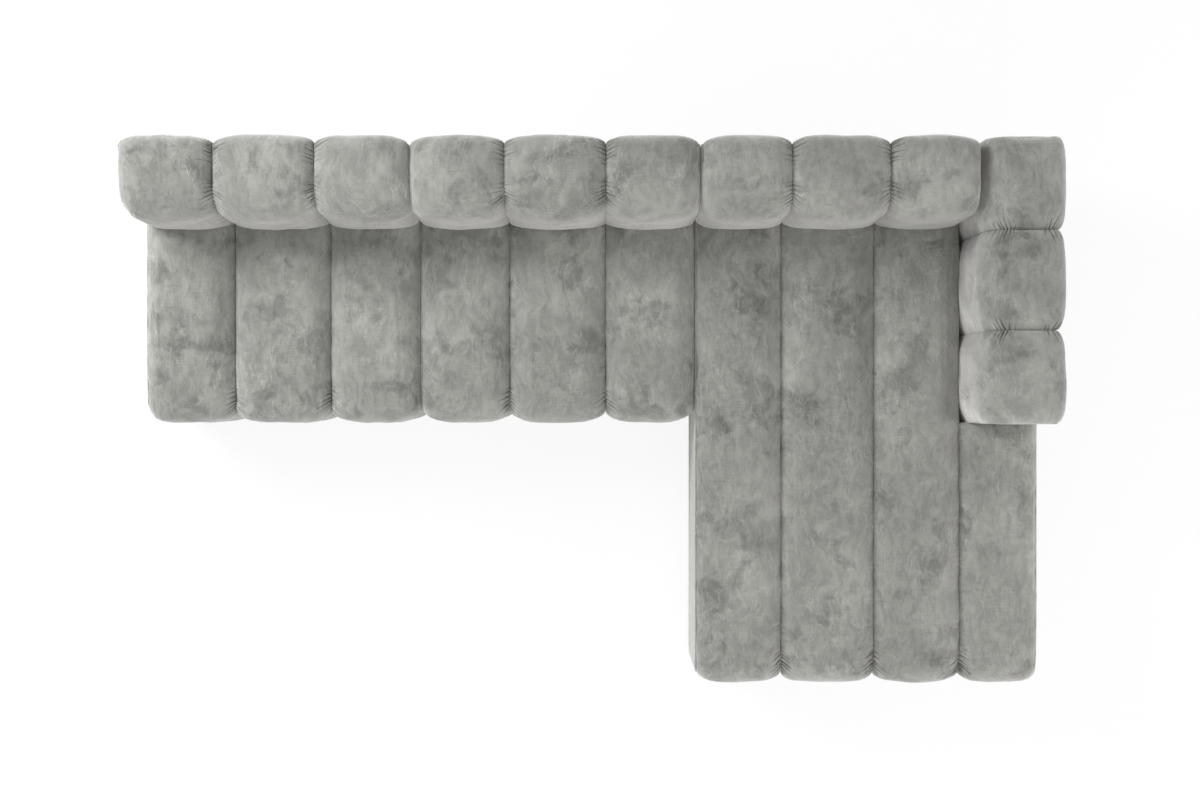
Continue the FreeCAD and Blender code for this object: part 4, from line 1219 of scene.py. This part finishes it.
def thin_creases(tree, vector, bent):
    """Thin creases that run two ways over a bent vector, each in patches of its own."""
    total = 0.0
    for turn, stretch, spread in ((0.9, 0.22, 5.0), (-0.7, 0.3, 6.5)):
        drawn_out = laid(tree, bent, (1.0, stretch, 1.0), turn)
        ridge = combine(tree, "SUBTRACT", noise(tree, drawn_out, 15.0, 3.0, 0.55).outputs["Fac"], 0.5)
        ridge = between(tree, combine(tree, "ABSOLUTE", ridge, 0.0), 0.0, 0.02, 1.0, 0.0)
        crease = combine(tree, "MULTIPLY", ridge, patches(tree, vector, spread, 0.5, 0.6))
        total = combine(tree, "ADD", crease, total)
    return total


def crushed_pile():
    """Velvet whose pile is crushed into soft clouds, streaks and thin creases, with painted shade in its
    pleats and beside its seams.
    """
    if "crushed_pile" in bpy.data.node_groups:
        return bpy.data.node_groups["crushed_pile"]
    tree, given, result = pattern("crushed_pile", {"Light": "Color", "Dark": "Color", "Contrast": "Float",
                                                   "Tuck": "Float"})
    vector = given.outputs["Vector"]
    bent = crushed(tree, vector)
    broad = patches(tree, vector, 3.2, 0.35, 0.65)
    clouds = patches(tree, bent, 15.0, 0.38, 0.62, 6.0, 0.66)
    streaks = patches(tree, laid(tree, bent, (1.0, 0.4, 0.8), 0.5), 46.0, 0.36, 0.64, 5.0, 0.66)
    creases = thin_creases(tree, vector, bent)
    grain = noise(tree, vector, 420.0, 3.0).outputs["Fac"]
    shade = patches(tree, bent, 6.5, 0.5, 0.66, 4.0, 0.6)
    threads = [patches(tree, laid(tree, vector, stretch), 250.0, 0.38, 0.62)
               for stretch in ((0.1, 1.0, 1.0), (1.0, 0.1, 1.0))]
    worn = between(tree, noise(tree, vector, 8.0).outputs["Fac"], 0.42, 0.6, 0.35, 1.0)
    weave = combine(tree, "MULTIPLY", combine(tree, "ADD", *threads), worn)
    tone = weighted(tree, [(broad, 0.28), (clouds, 0.14), (streaks, 0.22), (weave, 0.1), (grain, 0.28),
                           (creases, 0.22), (shade, -0.38)])
    tone = combine(tree, "SUBTRACT", tone, MEAN_TONE)
    tone = combine(tree, "MULTIPLY", tone, given.outputs["Contrast"])
    # Painted shade from the pleats and seam lines darkens the tone
    tone = combine(tree, "SUBTRACT", tone, combine(tree, "MULTIPLY", given.outputs["Tuck"], PAINTED_SHADE))
    tone = combine(tree, "ADD", tone, 0.5)
    mixed = put(tree, "ShaderNodeMix", {"data_type": "RGBA", "clamp_factor": False})
    tree.links.new(tone, mixed.inputs["Factor"])
    dark, light = mixed.inputs[6], mixed.inputs[7]
    tree.links.new(given.outputs["Dark"], dark)
    tree.links.new(given.outputs["Light"], light)
    tree.links.new(mixed.outputs[2], result.inputs["Color"])
    tree.links.new(between(tree, tone, -0.5, 1.5, 1.0, 0.7, soft=False), result.inputs["Roughness"])
    height = weighted(tree, [(clouds, 0.4), (streaks, 0.2), (creases, 0.4), (weave, 0.05), (grain, 0.06)])
    tree.links.new(height, result.inputs["Height"])
    return tree


def surface_grain():
    """Fine grain and broad unevenness for moulded, cut or sawn surfaces, drawn out along an axis."""
    if "surface_grain" in bpy.data.node_groups:
        return bpy.data.node_groups["surface_grain"]
    tree, given, result = pattern("surface_grain", {"Stretch": "Vector", "Scale": "Float",
                                                    "Color": "Color", "Depth": "Float",
                                                    "Roughness": "Float"})
    stretched = put(tree, "ShaderNodeVectorMath", {"operation": "MULTIPLY"})
    tree.links.new(given.outputs["Vector"], stretched.inputs[0])
    tree.links.new(given.outputs["Stretch"], stretched.inputs[1])
    fine = noise(tree, stretched.outputs["Vector"], 1.0, 5.0, 0.65)
    tree.links.new(given.outputs["Scale"], fine.inputs["Scale"])
    broad = noise(tree, stretched.outputs["Vector"], 9.0)
    blend = weighted(tree, [(fine.outputs["Fac"], 0.7), (broad.outputs["Fac"], 0.3)])
    centred = combine(tree, "SUBTRACT", blend, 0.5)
    shade = combine(tree, "ADD", combine(tree, "MULTIPLY", centred, given.outputs["Depth"]), 1.0)
    tinted = put(tree, "ShaderNodeVectorMath", {"operation": "SCALE"})
    tree.links.new(given.outputs["Color"], tinted.inputs[0])
    tree.links.new(shade, tinted.inputs["Scale"])
    tree.links.new(tinted.outputs["Vector"], result.inputs["Color"])
    rough = combine(tree, "ADD", combine(tree, "MULTIPLY", centred, 0.3), given.outputs["Roughness"])
    tree.links.new(rough, result.inputs["Roughness"])
    tree.links.new(blend, result.inputs["Height"])
    return tree


def shader_of(made, pattern_tree, inputs, bump, distance):
    """A material's shader and the pattern that feeds it, with the pattern's height as bump."""
    tree = made.node_tree
    shader = tree.nodes["Principled BSDF"]
    where = tree.nodes.new("ShaderNodeTexCoord")
    feed = put(tree, "ShaderNodeGroup", {"node_tree": pattern_tree}, inputs)
    tree.links.new(where.outputs["Object"], feed.inputs["Vector"])
    relief = put(tree, "ShaderNodeBump", inputs={"Strength": bump, "Distance": distance})
    tree.links.new(feed.outputs["Height"], relief.inputs["Height"])
    tree.links.new(relief.outputs["Normal"], shader.inputs["Normal"])
    tree.links.new(feed.outputs["Color"], shader.inputs["Base Color"])
    tree.links.new(feed.outputs["Roughness"], shader.inputs["Roughness"])
    return shader, feed


def velvet_finish(made, finishes, contrast):
    """Crushed velvet, with painted shade where it is tucked into pleats and seams."""
    shader, feed = shader_of(made, crushed_pile(), {
        "Light": (*finishes.velvet_light, 1), "Dark": (*finishes.velvet_dark, 1), "Contrast": contrast,
    }, VELVET_BUMP, VELVET_RELIEF)
    # The painted shade that gather stored on the covers
    folds = put(made.node_tree, "ShaderNodeAttribute", {"attribute_name": "tuck"})
    made.node_tree.links.new(folds.outputs["Fac"], feed.inputs["Tuck"])
    shader.inputs["Sheen Weight"].default_value = 1.0
    shader.inputs["Sheen Roughness"].default_value = 0.55
    shader.inputs["Sheen Tint"].default_value = (*finishes.velvet_sheen, 1)
    shader.inputs["Specular IOR Level"].default_value = 0.2


def grained_finish(made, finishes, tint, stretch, scale, depth, rough, bump, metallic):
    """Wood, steel, foam, cloth or plastic."""
    shader, _ = shader_of(made, surface_grain(), {
        "Stretch": stretch, "Scale": scale, "Color": (*getattr(finishes, tint), 1), "Depth": depth,
        "Roughness": rough,
    }, bump, GRAIN_RELIEF)
    shader.inputs["Metallic"].default_value = metallic


def material(slot):
    """The material of one of the finishes, made when it is first asked for."""
    name = f"{slot}_finish"
    if name in bpy.data.materials:
        return bpy.data.materials[name]
    finishes = bpy.context.scene.sofa_finishes
    made = bpy.data.materials.new(name)
    made.use_nodes = True
    if slot == "velvet":
        velvet_finish(made, finishes, finishes.velvet_contrast)
    elif slot == "velvet_panel":
        velvet_finish(made, finishes, finishes.panel_contrast)
    else:
        grained_finish(made, finishes, *GRAINED[slot])
    return made


class SOFA_OT_frame_finishes(bpy.types.Operator):
    """Wood, steel and cloth for the pieces of the frame that stay as they are"""
    bl_idname = "sofa.frame_finishes"
    bl_label = "Frame finishes"

    def execute(self, context):
        for name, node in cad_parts.items():
            slot = next(slot for word, slot in FRAME_FINISHES.items() if word in name)
            node.data.materials.clear()
            node.data.materials.append(material(slot))
        return {"FINISHED"}


# The stage

PICTURE_WIDTH = 1200
FOCAL_PIXELS = 1466
CAMERA_PLACE = (0.0275, 0.061, 5.315)

# Each lamp: its name, which its power in the finishes has too, its place, what it points at, its size
# and its colour
LAMPS = (
    ("key", (-3.8, 2.4, 3.1), (0.0, 0.0, 0.4), 2.6, (1.0, 1.0, 1.0)),
    ("front_fill", (0.4, -4.9, 2.0), (0.0, 0.0, 0.4), 3.0, (1.0, 0.99, 0.97)),
    ("right_fill", (4.9, -0.4, 2.0), (0.5, 0.0, 0.4), 3.0, (1.0, 0.99, 0.97)),
)


class SOFA_OT_stage(bpy.types.Operator):
    """A pale floor, soft light and the camera straight above"""
    bl_idname = "sofa.stage"
    bl_label = "Stage"

    def execute(self, context):
        scene, finishes = context.scene, context.scene.sofa_finishes
        scene.view_settings.view_transform = "Standard"
        mesh = bmesh.new()
        bmesh.ops.create_grid(mesh, x_segments=1, y_segments=1, size=30)
        floor = new_object("floor", mesh)
        floor.data.materials.append(self.floor_material())
        scene.world = self.studio(finishes.sky)
        for name, place, target, size, tint in LAMPS:
            self.lamp(name, place, target, size, getattr(finishes, name), tint)
        self.camera(scene)
        return {"FINISHED"}

    def studio(self, strength):
        """A world that lights the sofa softly and is white where it is seen."""
        world = bpy.data.worlds.new("studio")
        world.use_nodes = True
        tree = world.node_tree
        sky = tree.nodes["Background"]
        sky.inputs["Color"].default_value = (1.0, 1.0, 0.99, 1)
        sky.inputs["Strength"].default_value = strength
        bare = put(tree, "ShaderNodeBackground", inputs={"Color": (1, 1, 1, 1), "Strength": 1.0})
        choice = tree.nodes.new("ShaderNodeMixShader")
        tree.links.new(self.seen(tree), choice.inputs["Fac"])
        tree.links.new(sky.outputs["Background"], choice.inputs[1])
        tree.links.new(bare.outputs["Background"], choice.inputs[2])
        tree.links.new(choice.outputs["Shader"], tree.nodes["World Output"].inputs["Surface"])
        return world

    def seen(self, tree):
        """1 where the camera, a reflection or glass shows the background."""
        rays = tree.nodes.new("ShaderNodeLightPath")
        glossy = combine(tree, "MAXIMUM", rays.outputs["Is Camera Ray"], rays.outputs["Is Glossy Ray"])
        return combine(tree, "MAXIMUM", glossy, rays.outputs["Is Transmission Ray"])

    def floor_material(self):
        """White where it is seen, with part of the object's shadow kept."""
        made = bpy.data.materials.new("floor")
        made.use_nodes = True
        tree = made.node_tree
        paint = tree.nodes["Principled BSDF"]
        paint.inputs["Base Color"].default_value = (0.8, 0.8, 0.8, 1)
        paint.inputs["Roughness"].default_value = 0.9
        paint.inputs["Specular IOR Level"].default_value = 0.0
        glow = put(tree, "ShaderNodeEmission", inputs={"Color": (1, 1, 1, 1), "Strength": 1.05})
        share = combine(tree, "MULTIPLY", self.seen(tree), 0.84)
        choice = tree.nodes.new("ShaderNodeMixShader")
        tree.links.new(share, choice.inputs["Fac"])
        tree.links.new(paint.outputs["BSDF"], choice.inputs[1])
        tree.links.new(glow.outputs["Emission"], choice.inputs[2])
        tree.links.new(choice.outputs["Shader"], tree.nodes["Material Output"].inputs["Surface"])
        return made

    def lamp(self, name, place, target, size, power, tint):
        """A large soft lamp."""
        data = bpy.data.lights.new(name, "AREA")
        data.shape = "DISK"
        data.size = size
        data.energy = power
        data.color = tint
        lamp = link_object(name, data)
        lamp.location = place
        lamp.rotation_euler = (Vector(target) - Vector(place)).to_track_quat("-Z", "Y").to_euler()

    def camera(self, scene):
        """The photograph's view, from 5.3 m straight above."""
        data = bpy.data.cameras.new("camera")
        data.sensor_width = 36.0
        data.lens = data.sensor_width * FOCAL_PIXELS / PICTURE_WIDTH
        camera = link_object("camera", data)
        camera.location = CAMERA_PLACE
        scene.camera = camera


# The add-on


class SOFA_PT_pieces(bpy.types.Panel):
    """The sofa's pieces and sizes"""
    bl_idname = "SOFA_PT_pieces"
    bl_label = "Modular sofa"
    bl_space_type = "VIEW_3D"
    bl_region_type = "UI"
    bl_category = "Sofa"

    def draw(self, context):
        for operator in OPERATORS:
            self.layout.operator(operator.bl_idname)
        for group_name in GROUPS:
            settings = getattr(context.scene, group_name)
            box = self.layout.box()
            for name in settings.bl_rna.properties.keys():
                if name not in ("rna_type", "name"):
                    box.prop(settings, name)


GROUPS = {"sofa_covers": CoverSizes, "sofa_cloth": ClothSizes, "sofa_inner": InnerSizes,
          "sofa_finishes": Finishes}
OPERATORS = (SOFA_OT_stage, SOFA_OT_back_covers, SOFA_OT_seat_covers, SOFA_OT_arm_cover,
             SOFA_OT_side_panels, SOFA_OT_foam_blocks, SOFA_OT_springs, SOFA_OT_feet, SOFA_OT_frame_finishes)


def register():
    for name, kind in GROUPS.items():
        bpy.utils.register_class(kind)
        setattr(bpy.types.Scene, name, PointerProperty(type=kind))
    for kind in (*OPERATORS, SOFA_PT_pieces):
        bpy.utils.register_class(kind)


def unregister():
    for kind in (SOFA_PT_pieces, *reversed(OPERATORS)):
        bpy.utils.unregister_class(kind)
    for name, kind in GROUPS.items():
        delattr(bpy.types.Scene, name)
        bpy.utils.unregister_class(kind)


def main():
    """Build the dressed sofa."""
    register()
    bpy.ops.sofa.stage()
    bpy.ops.sofa.back_covers()
    bpy.ops.sofa.seat_covers()
    bpy.ops.sofa.arm_cover()
    bpy.ops.sofa.side_panels()
    bpy.ops.sofa.foam_blocks()
    bpy.ops.sofa.springs()
    bpy.ops.sofa.feet()
    bpy.ops.sofa.frame_finishes()


if __name__ == "__main__":
    main()
